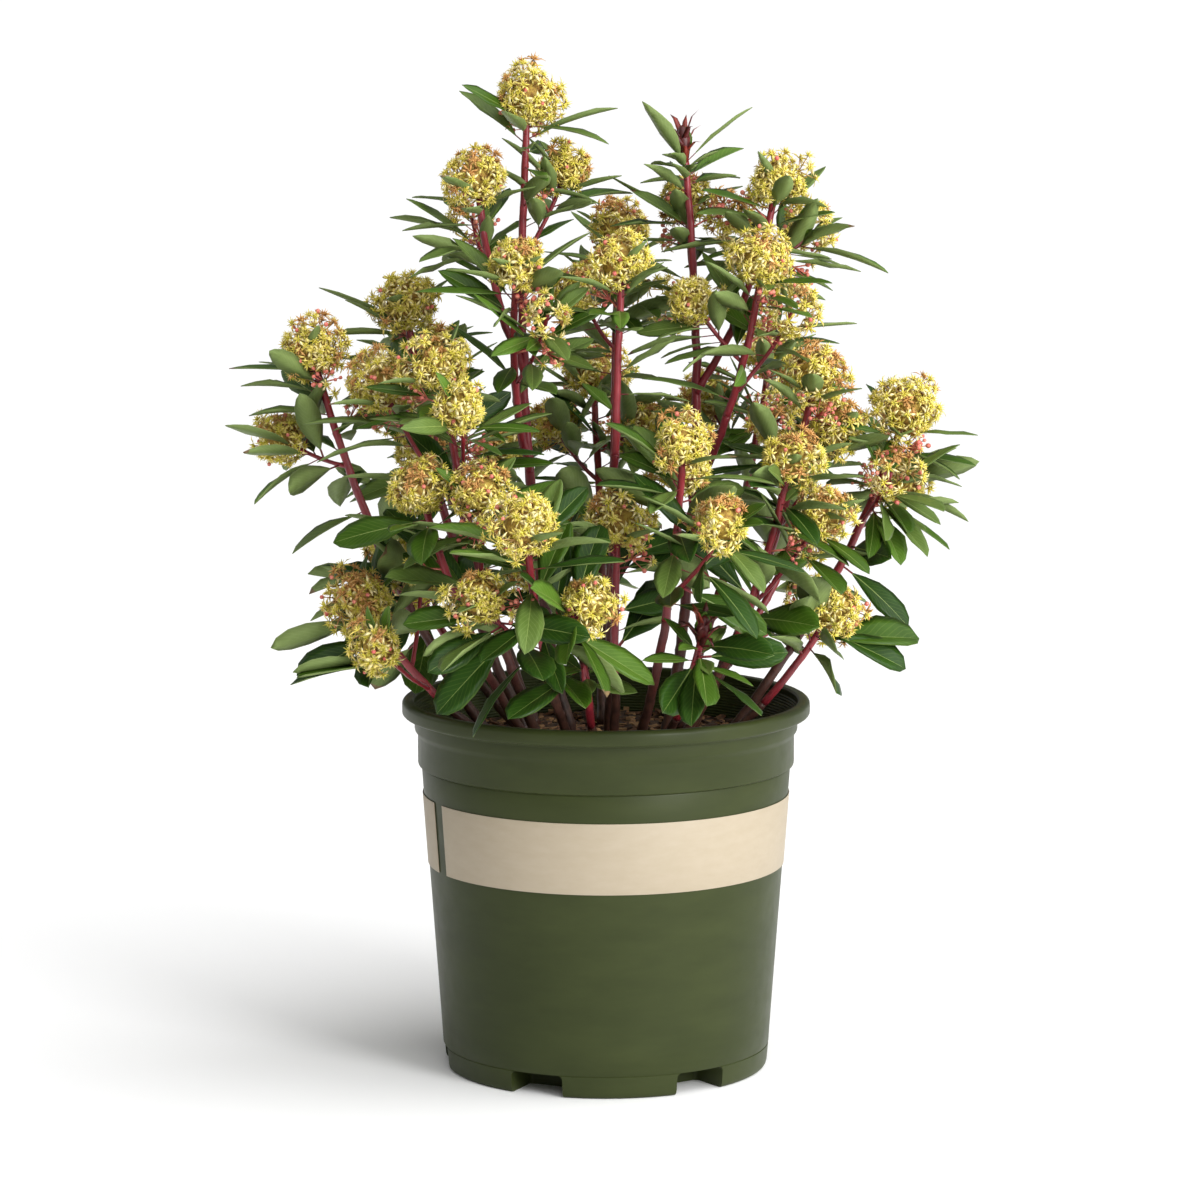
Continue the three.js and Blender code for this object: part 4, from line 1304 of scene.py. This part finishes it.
def add_small_leaf(leaves, root, axis, turn, lean, length, draw):
    """A young leaf that stands up beside the end of a shoot."""
    heading = axis * math.cos(lean) + around(axis, turn) * math.sin(lean)
    up = unit(axis - (axis @ heading) * heading)
    side = np.cross(heading, up)
    width = HEAD_LEAF_WIDTH * draw.uniform(0.85, 1.2)
    bend, twist = draw.uniform(-0.2, 0.3), draw.uniform(-0.4, 0.4)
    leaf = leaf_spots(length, width, bend, 0.35, twist, (9, 2, 0.0004))
    # The pale grey-green among these is painted sheen.
    look = ("green", "young", "sheen_green")[int(draw.integers(3))]
    lay_leaf(leaves, leaf, root, side, heading, up, look)


def add_end_leaves(leaves, shoot, draw):
    """A few young leaves beside a flower head, or a whorl of them round a leaf bud."""
    end, axis = shoot["path"].at(1), shoot["path"].heading(1)
    if not shoot["bud"]:
        for _ in range(int(draw.integers(0, MOST_HEAD_LEAVES + 1))):
            lean = math.radians(draw.uniform(25, 75))
            turn = draw.uniform(0, math.tau)
            add_small_leaf(leaves, end - axis * HEAD_LEAF_BACK, axis, turn, lean, HEAD_LEAF, draw)
        return
    for k in range(BUD_LEAVES):
        root = end - axis * (BUD_LEAF_BACK + BUD_LEAF_STEP * k)
        lean = math.radians(60 + 4 * k if k else 6)
        length = HEAD_LEAF * (0.68 + 0.05 * k) * draw.uniform(0.85, 1.1)
        turn = math.radians(BUD_LEAF_TURN + GOLDEN_ANGLE * k)
        add_small_leaf(leaves, root, axis, turn, lean, length, draw)


# %% Deal out the leaves
GROUPS = {
    "left": "upper_left left_shoulder left_outer left_mid left_low left_bottom front_left",
    "middle": "top centre_left centre centre_low bud front_low_left front_low_right",
    "right": "right_top right_upper right_shoulder right_mid right_outer right_bottom front_right",
    "back": "back_left back back_right back_top back_low_left back_low back_low_right",
}
leaf_bundles = {group: Bundle() for group in GROUPS}
group_of = {name: group for group, names in GROUPS.items() for name in names.split()}
for k in range(MOST_LEAVES):
    back = ROSETTE_START + ROSETTE_STEP * k
    lean = ROSETTE_LEAN + ROSETTE_LEAN_STEP * k
    if k >= ROSETTE_LEAVES:
        back = LOWER_START + LOWER_STEP * (k - ROSETTE_LEAVES)
        lean = LOWER_LEAN
    for plan in plans.values():
        for s, shoot in enumerate(plan["shoots"]):
            seed = 1000 * plan["index"] + 100 * s + k
            place_leaf(leaf_bundles[group_of[plan["name"]]], shoot, k, plan, seed, back, lean)
for plan in plans.values():
    draw = np.random.default_rng(300 + plan["index"])
    for shoot in plan["shoots"]:
        add_end_leaves(leaf_bundles[group_of[plan["name"]]], shoot, draw)
print(len(leaf_marks), "large leaves")

# %% [markdown]
# ### The leaves' materials
#
# The tones are dealt out leaf by leaf as separate materials, because one tone per leaf is what the eye
# sees from afar. The darkest tone, on low leaves, is partly their own colour and partly painted shade
# under the crown, and the pale grey-green on most high leaves is painted sheen. Close up, each leaf
# needs a thin pale margin and faint side veins. They could come from a picture, but the leaf's own UV
# map, which runs along and across it, is enough to place them.

# %% Leaf materials
MIDRIB = 0.5  # across the leaf's UV map
VEIN_SLANT = 0.55
VEIN_BEAT = 85  # radians from the stalk to the tip


def leaf_material(name, colour_a, colour_b, margin, roughness):
    """A mottled leaf side with a pale margin and veins that leave the midrib at a slant."""
    made = mottled(name, colour_a, colour_b, 55, roughness, 0.0004)
    set_reflection(made, 0.2)
    tree = made.node_tree
    place = add_node(tree, "UVMap", uv_map="along_and_across")
    parts = add_node(tree, "SeparateXYZ")
    centred = add_node(tree, "Math", {1: MIDRIB}, operation="SUBTRACT")
    off = add_node(tree, "Math", operation="ABSOLUTE")
    edge = add_node(tree, "MapRange", {"From Min": 0.44, "From Max": 0.5, "To Max": 0.5})
    slant = add_node(tree, "Math", {1: -VEIN_SLANT}, operation="MULTIPLY_ADD")
    beat = add_node(tree, "Math", {1: VEIN_BEAT}, operation="MULTIPLY")
    vein = add_node(tree, "Math", operation="SINE")
    sharp = add_node(tree, "MapRange", {"From Min": 0.75, "From Max": 1, "To Max": 0.22})
    rim = add_node(tree, "Mix", data_type="RGBA")
    veined = add_node(tree, "Mix", data_type="RGBA")
    for pale in (rim, veined):
        pale.inputs["B"].default_value = tone(*margin)
    wire(
        tree, (place, "UV", parts, "Vector"), (parts, "Y", centred, 0), (centred, "Value", off, 0),
        (off, "Value", edge, "Value"), (edge, "Result", rim, "Factor"),
        (off, "Value", slant, 0), (parts, "X", slant, 2), (slant, "Value", beat, 0),
        (beat, "Value", vein, 0), (vein, "Value", sharp, "Value"), (sharp, "Result", veined, "Factor"),
        (tree.nodes["mottle"], "Color", rim, "A"), (rim, "Result", veined, "A"),
        (veined, "Result", shader_of(made), "Base Color"),
    )
    return made


leaf_looks = [
    # Partly the low leaves' own dark green, partly painted shade under the crown.
    leaf_material("leaf_dark_and_shade", (31, 57, 12), (41, 72, 18), (96, 120, 52), 0.36),
    leaf_material("leaf_green", (49, 77, 14), (60, 90, 20), (112, 134, 60), 0.38),
    leaf_material("leaf_young", (70, 102, 28), (85, 117, 40), (140, 162, 84), 0.42),
    # A pale grey-green that is painted sheen: the bright room reflected on a glossy leaf.
    leaf_material("leaf_sheen_green", (80, 102, 42), (94, 116, 54), (136, 152, 92), 0.42),
    leaf_material("leaf_under", (104, 122, 66), (120, 138, 80), (146, 160, 106), 0.6),
    mottled("leaf_rib", (112, 132, 62), (128, 146, 78), 300, 0.45, 0.0001),
    mottled("leaf_stalk", (140, 44, 58), (110, 60, 50), 200, 0.4, 0.0001),
    mottled("leaf_tip", (120, 96, 58), (88, 70, 44), 200, 0.55, 0.0001),
]
for group, bundle in leaf_bundles.items():
    leaves = bundle.make(f"leaves_{group}", leaf_looks)
    hand_in(leaves, "foliage", *[f"foliage_{name}" for name in GROUPS[group].split()])

# %% [markdown]
# ## The flowers
#
# A head is a ball of a dozen small umbels, each with half a dozen stars. A star is a fuzzy tuft of
# yellow-green stamens with four to seven pale, narrow petals that curl back from under it. Many stars
# on top have begun to fade and are browner. A head could be one ball with petals dealt over it by
# Geometry Nodes, but then each petal would be the same. Here a few tufts are made once, and every
# star turns one of them and gets petals of its own from a seeded draw.

# %% One petal, one tuft, one bud
PETAL_LENGTH = 0.0068
PETAL_WIDTH = 0.00155
STAMENS = 12
STAMEN_LENGTH = 0.0042
STAMEN_RADIUS = 0.00062
TUFT_KINDS = 8
BUD_RADIUS = 0.0016
PETAL_FACES = [(0, 2, 3, 1), (2, 5, 3), (0, 1, 4), (0, 4, 2), (1, 3, 4), (2, 4, 5), (3, 5, 4)]
FLOWER_LOOKS = numbered(
    "cream", "yellow", "ochre", "middle", "anther", "bud", "stalk", "core", "brown", "scale"
)


def basis(direction, turn):
    """Three directions: two square to the given one, turned round it, and itself."""
    helper = np.array([0.0, 0, 1]) if abs(direction[2]) < 0.9 else np.array([1.0, 0, 0])
    first = unit(np.cross(helper, direction))
    second = np.cross(direction, first)
    return np.array([
        first * math.cos(turn) + second * math.sin(turn),
        second * math.cos(turn) - first * math.sin(turn),
        direction,
    ])


def petal(turn, length, width, rise):
    """A strap with a keel below, that curls down. rise is its angle above the star's face."""
    out = np.array([math.cos(turn) * math.cos(rise), math.sin(turn) * math.cos(rise), math.sin(rise)])
    up = np.array([-math.cos(turn) * math.sin(rise), -math.sin(turn) * math.sin(rise), math.cos(rise)])
    across = np.array([-math.sin(turn), math.cos(turn), 0]) * width / 2
    base = out * 0.0006
    belly = out * length * 0.6
    tip = out * length * 0.94 - up * length * 0.24
    keel = up * width * 0.4
    return [base - across * 0.7, base + across * 0.7, belly - across, belly + across, belly - keel, tip]


def ring(radius, height, sides):
    """Corners in a circle."""
    turns = [math.tau * k / sides for k in range(sides)]
    return [(radius * math.cos(turn), radius * math.sin(turn), height) for turn in turns]


def capped_rings(rings, sides):
    """Faces for rings of corners that end in a single corner on top, with a flat face below."""
    faces = ring_faces(rings, sides)
    top = (rings - 1) * sides
    faces += [(top + k, top + (k + 1) % sides, top + sides) for k in range(sides)]
    faces.append(tuple(range(sides))[::-1])
    return faces


def ball(radius, sides):
    """A round bud from four rings, with a small flat face where its stalk meets it."""
    spots = []
    for level in (-0.95, -0.5, 0.15, 0.75):
        spots += ring(radius * math.sqrt(1 - level**2), radius * level, sides)
    return np.array(spots + [(0, 0, radius)]), capped_rings(4, sides)


def make_tuft(draw):
    """A small dome with pointed stamens all over it, some of them paler."""
    spots = [np.array(ring(0.0013, 0, 5) + ring(0.0009, 0.0009, 5) + [(0, 0, 0.0013)])]
    faces = capped_rings(2, 5)
    looks = [FLOWER_LOOKS["middle"]] * len(faces)
    for k in range(STAMENS):
        lean = math.acos(1 - 0.9 * (k + 0.5) / STAMENS) + draw.normal(0, 0.1)
        turn = math.radians(GOLDEN_ANGLE * k) + draw.normal(0, 0.2)
        point = (0, 0, STAMEN_LENGTH * draw.uniform(0.8, 1.15))
        start = sum(map(len, spots))
        spots.append(np.array(ring(STAMEN_RADIUS, 0.0008, 3) + [point]) @ basis(tilted(lean, turn), 0))
        faces += [tuple(start + corner for corner in face) for face in capped_rings(1, 3)]
        looks += [FLOWER_LOOKS["anther" if k % 3 == 0 else "middle"]] * 4
    return np.concatenate(spots), faces, looks


BUD_SPOTS, BUD_FACES = ball(BUD_RADIUS, 6)
CORE_SPOTS, CORE_FACES = ball(1, 12)
tuft_draw = np.random.default_rng(77)
TUFTS = [make_tuft(tuft_draw) for _ in range(TUFT_KINDS)]
print("A petal has", len(PETAL_FACES), "faces and a tuft", len(TUFTS[0][1]))


# %% A whole star, and a stalk
def add_star(petals, middles, place, direction, size, look, draw):
    """Petals of its own, and one of the shared tufts."""
    frame_of = basis(direction, draw.uniform(0, math.tau))
    count = int(draw.integers(4, 8))
    for k in range(count):
        angle = math.tau * k / count + draw.normal(0, 0.2)
        length = PETAL_LENGTH * draw.uniform(0.75, 1.15)
        shape = petal(angle, length, PETAL_WIDTH * draw.uniform(0.8, 1.2), draw.uniform(-0.6, 0.5))
        petals.add(np.array(shape) * size @ frame_of + place, PETAL_FACES, look)
    spots, faces, looks = TUFTS[int(draw.integers(TUFT_KINDS))]
    if look == FLOWER_LOOKS["ochre"]:
        looks = look
    middles.add(spots * size @ frame_of + place, faces, looks)


def add_stalk(middles, start, end, radius, look):
    """A three-sided stalk that tapers a little."""
    across = basis(unit(end - start), 0)
    circle = np.array(ring(radius, 0, 3)) @ across
    spots = np.concatenate([circle + start, circle * 0.75 + end])
    middles.add(spots, [(0, 1, 4, 3), (1, 2, 5, 4), (2, 0, 3, 5), (2, 1, 0), (3, 4, 5)], look)


# %% [markdown]
# ### Heads and sprays
#
# The umbels of a head are spread over a ball by the golden angle, which fills it evenly without a
# grid, and the stars of an umbel round its middle in the same way. Each umbel reaches out a
# different way, and each head is fuller on one side, so it is knobbly, with dark gaps. Some places
# hold a round pink bud. A few side shoots carry a loose head with no core. Below most heads stands a
# loose spray of pink buds on thin stalks, with a few stars open, and a stem's own end may have a
# second spray lower down.

# %% Heads of stars
UMBELS = 14
UMBEL_STARS = 6
UMBEL_SPREAD = 30  # degrees
UMBEL_FORK = 0.62  # where the stalks of an umbel part
STALK_RADIUS = 0.0005
INNER_STARS = 20
INNER_SHARE = 0.78
INNER_SIZE = 1.1
FULLER = 0.16  # how much farther a head reaches on its fuller side
CORE_SHARE = 0.66
LOOSE_SHARE = 0.3  # of the side shoots' heads
LOOSE_UMBELS = 0.75
LOOSE_BUDS = 0.3  # of the places for stars
DENSE_BUDS = 0.08
CREAM_SHARE = 0.58


def star_look(direction, faded, draw):
    """Cream and yellow, and more ochre on top, where the flowers are oldest."""
    if draw.random() < faded * (0.9 if direction[2] > 0.5 else 0.2):
        return FLOWER_LOOKS["ochre"]
    return FLOWER_LOOKS["cream" if draw.random() < CREAM_SHARE else "yellow"]


def golden_spot(k, count, depth):
    """One of several directions spread evenly over a ball, down to a depth below its top."""
    level = 1 - depth * (k + 0.5) / count
    turn = math.radians(GOLDEN_ANGLE * k)
    wide = math.sqrt(1 - level**2)
    return np.array([wide * math.cos(turn), wide * math.sin(turn), level])


def add_head(petals, middles, centre, heading, size, loose, draw):
    """Umbels of stars, round a core of painted shade and hidden buds with a few more stars unless the head
    is a loose one.
    """
    frame_of = basis(heading, draw.uniform(0, math.tau))
    faded = draw.uniform(0.05, 0.6)
    radius = HEAD_RADIUS * size
    fuller_side = unit(draw.normal(0, 1, 3) * [1, 1, 0.4])
    if not loose:
        # The core ball's brown mottle is partly painted shade inside the head.
        middles.add(CORE_SPOTS * radius * CORE_SHARE @ frame_of + centre, CORE_FACES, FLOWER_LOOKS["core"])
    for k in range(0 if loose else INNER_STARS):
        direction = golden_spot(k, INNER_STARS, 1.9) @ frame_of
        place = centre + direction * radius * INNER_SHARE
        add_star(petals, middles, place, direction, INNER_SIZE, FLOWER_LOOKS["yellow"], draw)
    umbels = round(UMBELS * size**2 * (LOOSE_UMBELS if loose else 1))
    for umbel in range(umbels):
        middle = golden_spot(umbel, umbels, 1.8) @ frame_of
        reach = radius * draw.uniform(0.8, 1.22) * (1 + FULLER * float(middle @ fuller_side))
        fork = centre + middle * reach * UMBEL_FORK
        spread = basis(middle, draw.uniform(0, math.tau))
        for k in range(UMBEL_STARS):
            lean = math.radians(UMBEL_SPREAD * math.sqrt((k + 0.1) / UMBEL_STARS))
            turn = math.radians(GOLDEN_ANGLE * k)
            direction = tilted(lean, turn) @ spread
            place = centre + direction * reach * (1 - 0.45 * lean**2) * draw.uniform(0.9, 1.08)
            facing = unit(direction + draw.normal(0, 0.25, 3))
            add_stalk(middles, fork, place, STALK_RADIUS, FLOWER_LOOKS["stalk"])
            if draw.random() < (LOOSE_BUDS if loose else DENSE_BUDS):
                spots = BUD_SPOTS * draw.uniform(0.8, 1.15) @ basis(facing, 0)
                middles.add(spots + place, BUD_FACES, FLOWER_LOOKS["bud"])
            else:
                look = star_look(direction, faded, draw)
                add_star(petals, middles, place, facing, draw.uniform(0.95, 1.25), look, draw)


# %% Loose sprays
SPRAY_BUDS = 13
SPRAY_REACH = 0.015
SPRAYS_BACK = (0.028, 0.062)  # from the shoot's end; the second only on a stem's own end
SPRAY_SHARE = 0.75
SPRAY_FLOOR = 0.33  # lowest height of a spray
SPRAY_ROOM = 0.004
SPRAY_STALK = 0.012
SPRAY_STALK_RADIUS = 0.0009
SPRAY_THREAD_RADIUS = 0.00045


def add_spray(petals, middles, root, heading, draw):
    """Thin stalks that spread from one place, most with a bud at the end."""
    frame_of = basis(heading, 0)
    for k in range(SPRAY_BUDS):
        lean = math.radians(draw.uniform(8, 62))
        turn = math.radians(GOLDEN_ANGLE * k)
        direction = tilted(lean, turn) @ frame_of
        end = root + direction * SPRAY_REACH * draw.uniform(0.6, 1.1)
        add_stalk(middles, root, end, SPRAY_THREAD_RADIUS, FLOWER_LOOKS["bud"])
        if k % 4 == 2:
            add_star(petals, middles, end, direction, 0.9, FLOWER_LOOKS["cream"], draw)
        else:
            spots = BUD_SPOTS * draw.uniform(0.75, 1.2) @ basis(direction, 0)
            middles.add(spots + end, BUD_FACES, FLOWER_LOOKS["bud"])


def spray_place(shoot, back, draw):
    """A place beside a shoot, below its head, and the way the spray points."""
    path = shoot["path"]
    share = 1 - back / path.length
    axis = path.heading(share)
    return path.at(share), unit(axis * 0.5 + around(axis, draw.uniform(0, math.tau)))


flower_bundles = {group: (Bundle(), Bundle()) for group in GROUPS}
number = 0
for plan in plans.values():
    petals, middles = flower_bundles[group_of[plan["name"]]]
    for k, shoot in enumerate(plan["shoots"]):
        number += 1
        draw = np.random.default_rng(500 + number)
        if not shoot["bud"]:
            size = draw.uniform(0.78, 1) if k else draw.uniform(0.92, 1.06)
            loose = k > 0 and draw.random() < LOOSE_SHARE
            add_head(petals, middles, shoot["path"].at(1), shoot["path"].heading(1), size, loose, draw)
        for back in SPRAYS_BACK[: 1 + (k == 0)]:
            root, heading = spray_place(shoot, back * draw.uniform(0.9, 1.1), draw)
            end = root + heading * SPRAY_STALK
            clear = end[2] > SPRAY_FLOOR and rooms_to(wood, end[None]).min() > SPRAY_ROOM
            if draw.random() < SPRAY_SHARE and clear:
                add_stalk(middles, root, end, SPRAY_STALK_RADIUS, FLOWER_LOOKS["bud"])
                add_spray(petals, middles, end, heading, draw)
print("Corners of petals and flower middles:", sum(
    len(bundle.spots) for pair in flower_bundles.values() for bundle in pair
))

# %% [markdown]
# ### Leaf buds
#
# Three stems end in a closed leaf bud. It is a dark brown-red point wrapped in narrow dark red scales
# that curl outwards, with a few young leaves round it. The point could be sculpted. The ball that is
# the core of a head does for it when it is made taller, and one rule turns the scales round it.

# %% Scales round a bud
SCALE_COUNT = 13
SCALE_LENGTH = 0.021
SCALE_FOOT = 0.0016  # from the bud's middle line
LOWEST_SCALE = 0.014  # below the bud's tip
SCALE_STEP = 0.0011
# share of the length, half the width, half the thickness
SCALE_STATIONS = ((0, 0.0013, 0.0006), (0.35, 0.0024, 0.0007), (0.75, 0.0017, 0.0005))
BUD_SINK = 0.001  # the point starts this far below the shoot's end
BUD_POINT = np.array([0.0046, 0.0046, 0.011])


def add_scale(middles, root, frame_of, turn, length, spread, look):
    """A narrow pointed scale that curls outwards: a closed strip of four stations."""
    out = np.array([math.cos(turn), math.sin(turn), 0])
    across = np.array([-math.sin(turn), math.cos(turn), 0])
    spots = []
    for share, half, thick in SCALE_STATIONS:
        lean = spread * share
        middle = out * (SCALE_FOOT + length * share * math.sin(lean))
        middle += np.array([0, 0, length * share * math.cos(lean)])
        aside, forward = across * half, out * thick
        spots += [middle - aside, middle + forward, middle + aside, middle - forward]
    lean = spread * 1.15
    spots.append(out * (SCALE_FOOT + length * math.sin(lean)) + np.array([0, 0, length * math.cos(lean)]))
    middles.add(np.array(spots) @ frame_of + root, capped_rings(3, 4), look)


def add_bud(middles, path, draw):
    """The point, and scales that start higher and higher up the end of the shoot."""
    heading = path.heading(1)
    tip = path.at(1) - heading * BUD_SINK
    frame_of = basis(heading, 0)
    middles.add(CORE_SPOTS * BUD_POINT @ frame_of + tip, CORE_FACES, FLOWER_LOOKS["brown"])
    for k in range(SCALE_COUNT):
        root = tip - heading * (LOWEST_SCALE - SCALE_STEP * k)
        turn = math.radians(GOLDEN_ANGLE * k)
        length = SCALE_LENGTH * draw.uniform(0.75, 1.2)
        look = FLOWER_LOOKS["brown" if k % 3 else "scale"]
        add_scale(middles, root, frame_of, turn, length, draw.uniform(0.3, 0.95), look)


budded = [plan for plan in plans.values() if plan.get("bud")]
for plan in budded:
    _, middles = flower_bundles[group_of[plan["name"]]]
    add_bud(middles, plan["path"], np.random.default_rng(900 + plan["index"]))
print(len(budded), "leaf buds")

# %% Flower materials
flower_looks = [
    mottled("petal_cream", (252, 238, 178), (246, 228, 156), 200, 0.55, 0.0001),
    mottled("petal_yellow", (246, 226, 132), (236, 214, 108), 200, 0.55, 0.0001),
    mottled("petal_ochre", (222, 174, 102), (194, 138, 78), 200, 0.6, 0.0001),
    mottled("flower_middle", (234, 222, 94), (210, 198, 68), 400, 0.5, 0.0001),
    mottled("anther", (248, 232, 140), (234, 210, 108), 400, 0.5, 0.0001),
    mottled("flower_bud", (208, 96, 92), (226, 146, 120), 300, 0.42, 0.0001),
    mottled("flower_stalk", (196, 178, 98), (190, 130, 96), 200, 0.5, 0.0001),
    # The colour of hidden buds and stalks, its brown tone partly painted shade inside a head.
    mottled("head_core", (196, 170, 76), (140, 96, 46), 260, 0.8, 0.002),
    mottled("bud_brown", (96, 30, 30), (66, 24, 24), 300, 0.45, 0.0002),
    mottled("bud_scale", (112, 36, 32), (146, 58, 40), 300, 0.45, 0.0002),
]
for group, (petals, middles) in flower_bundles.items():
    hand_in(petals.make(f"petals_{group}", flower_looks), "foliage")
    hand_in(middles.make(f"flower_middles_{group}", flower_looks), "foliage")
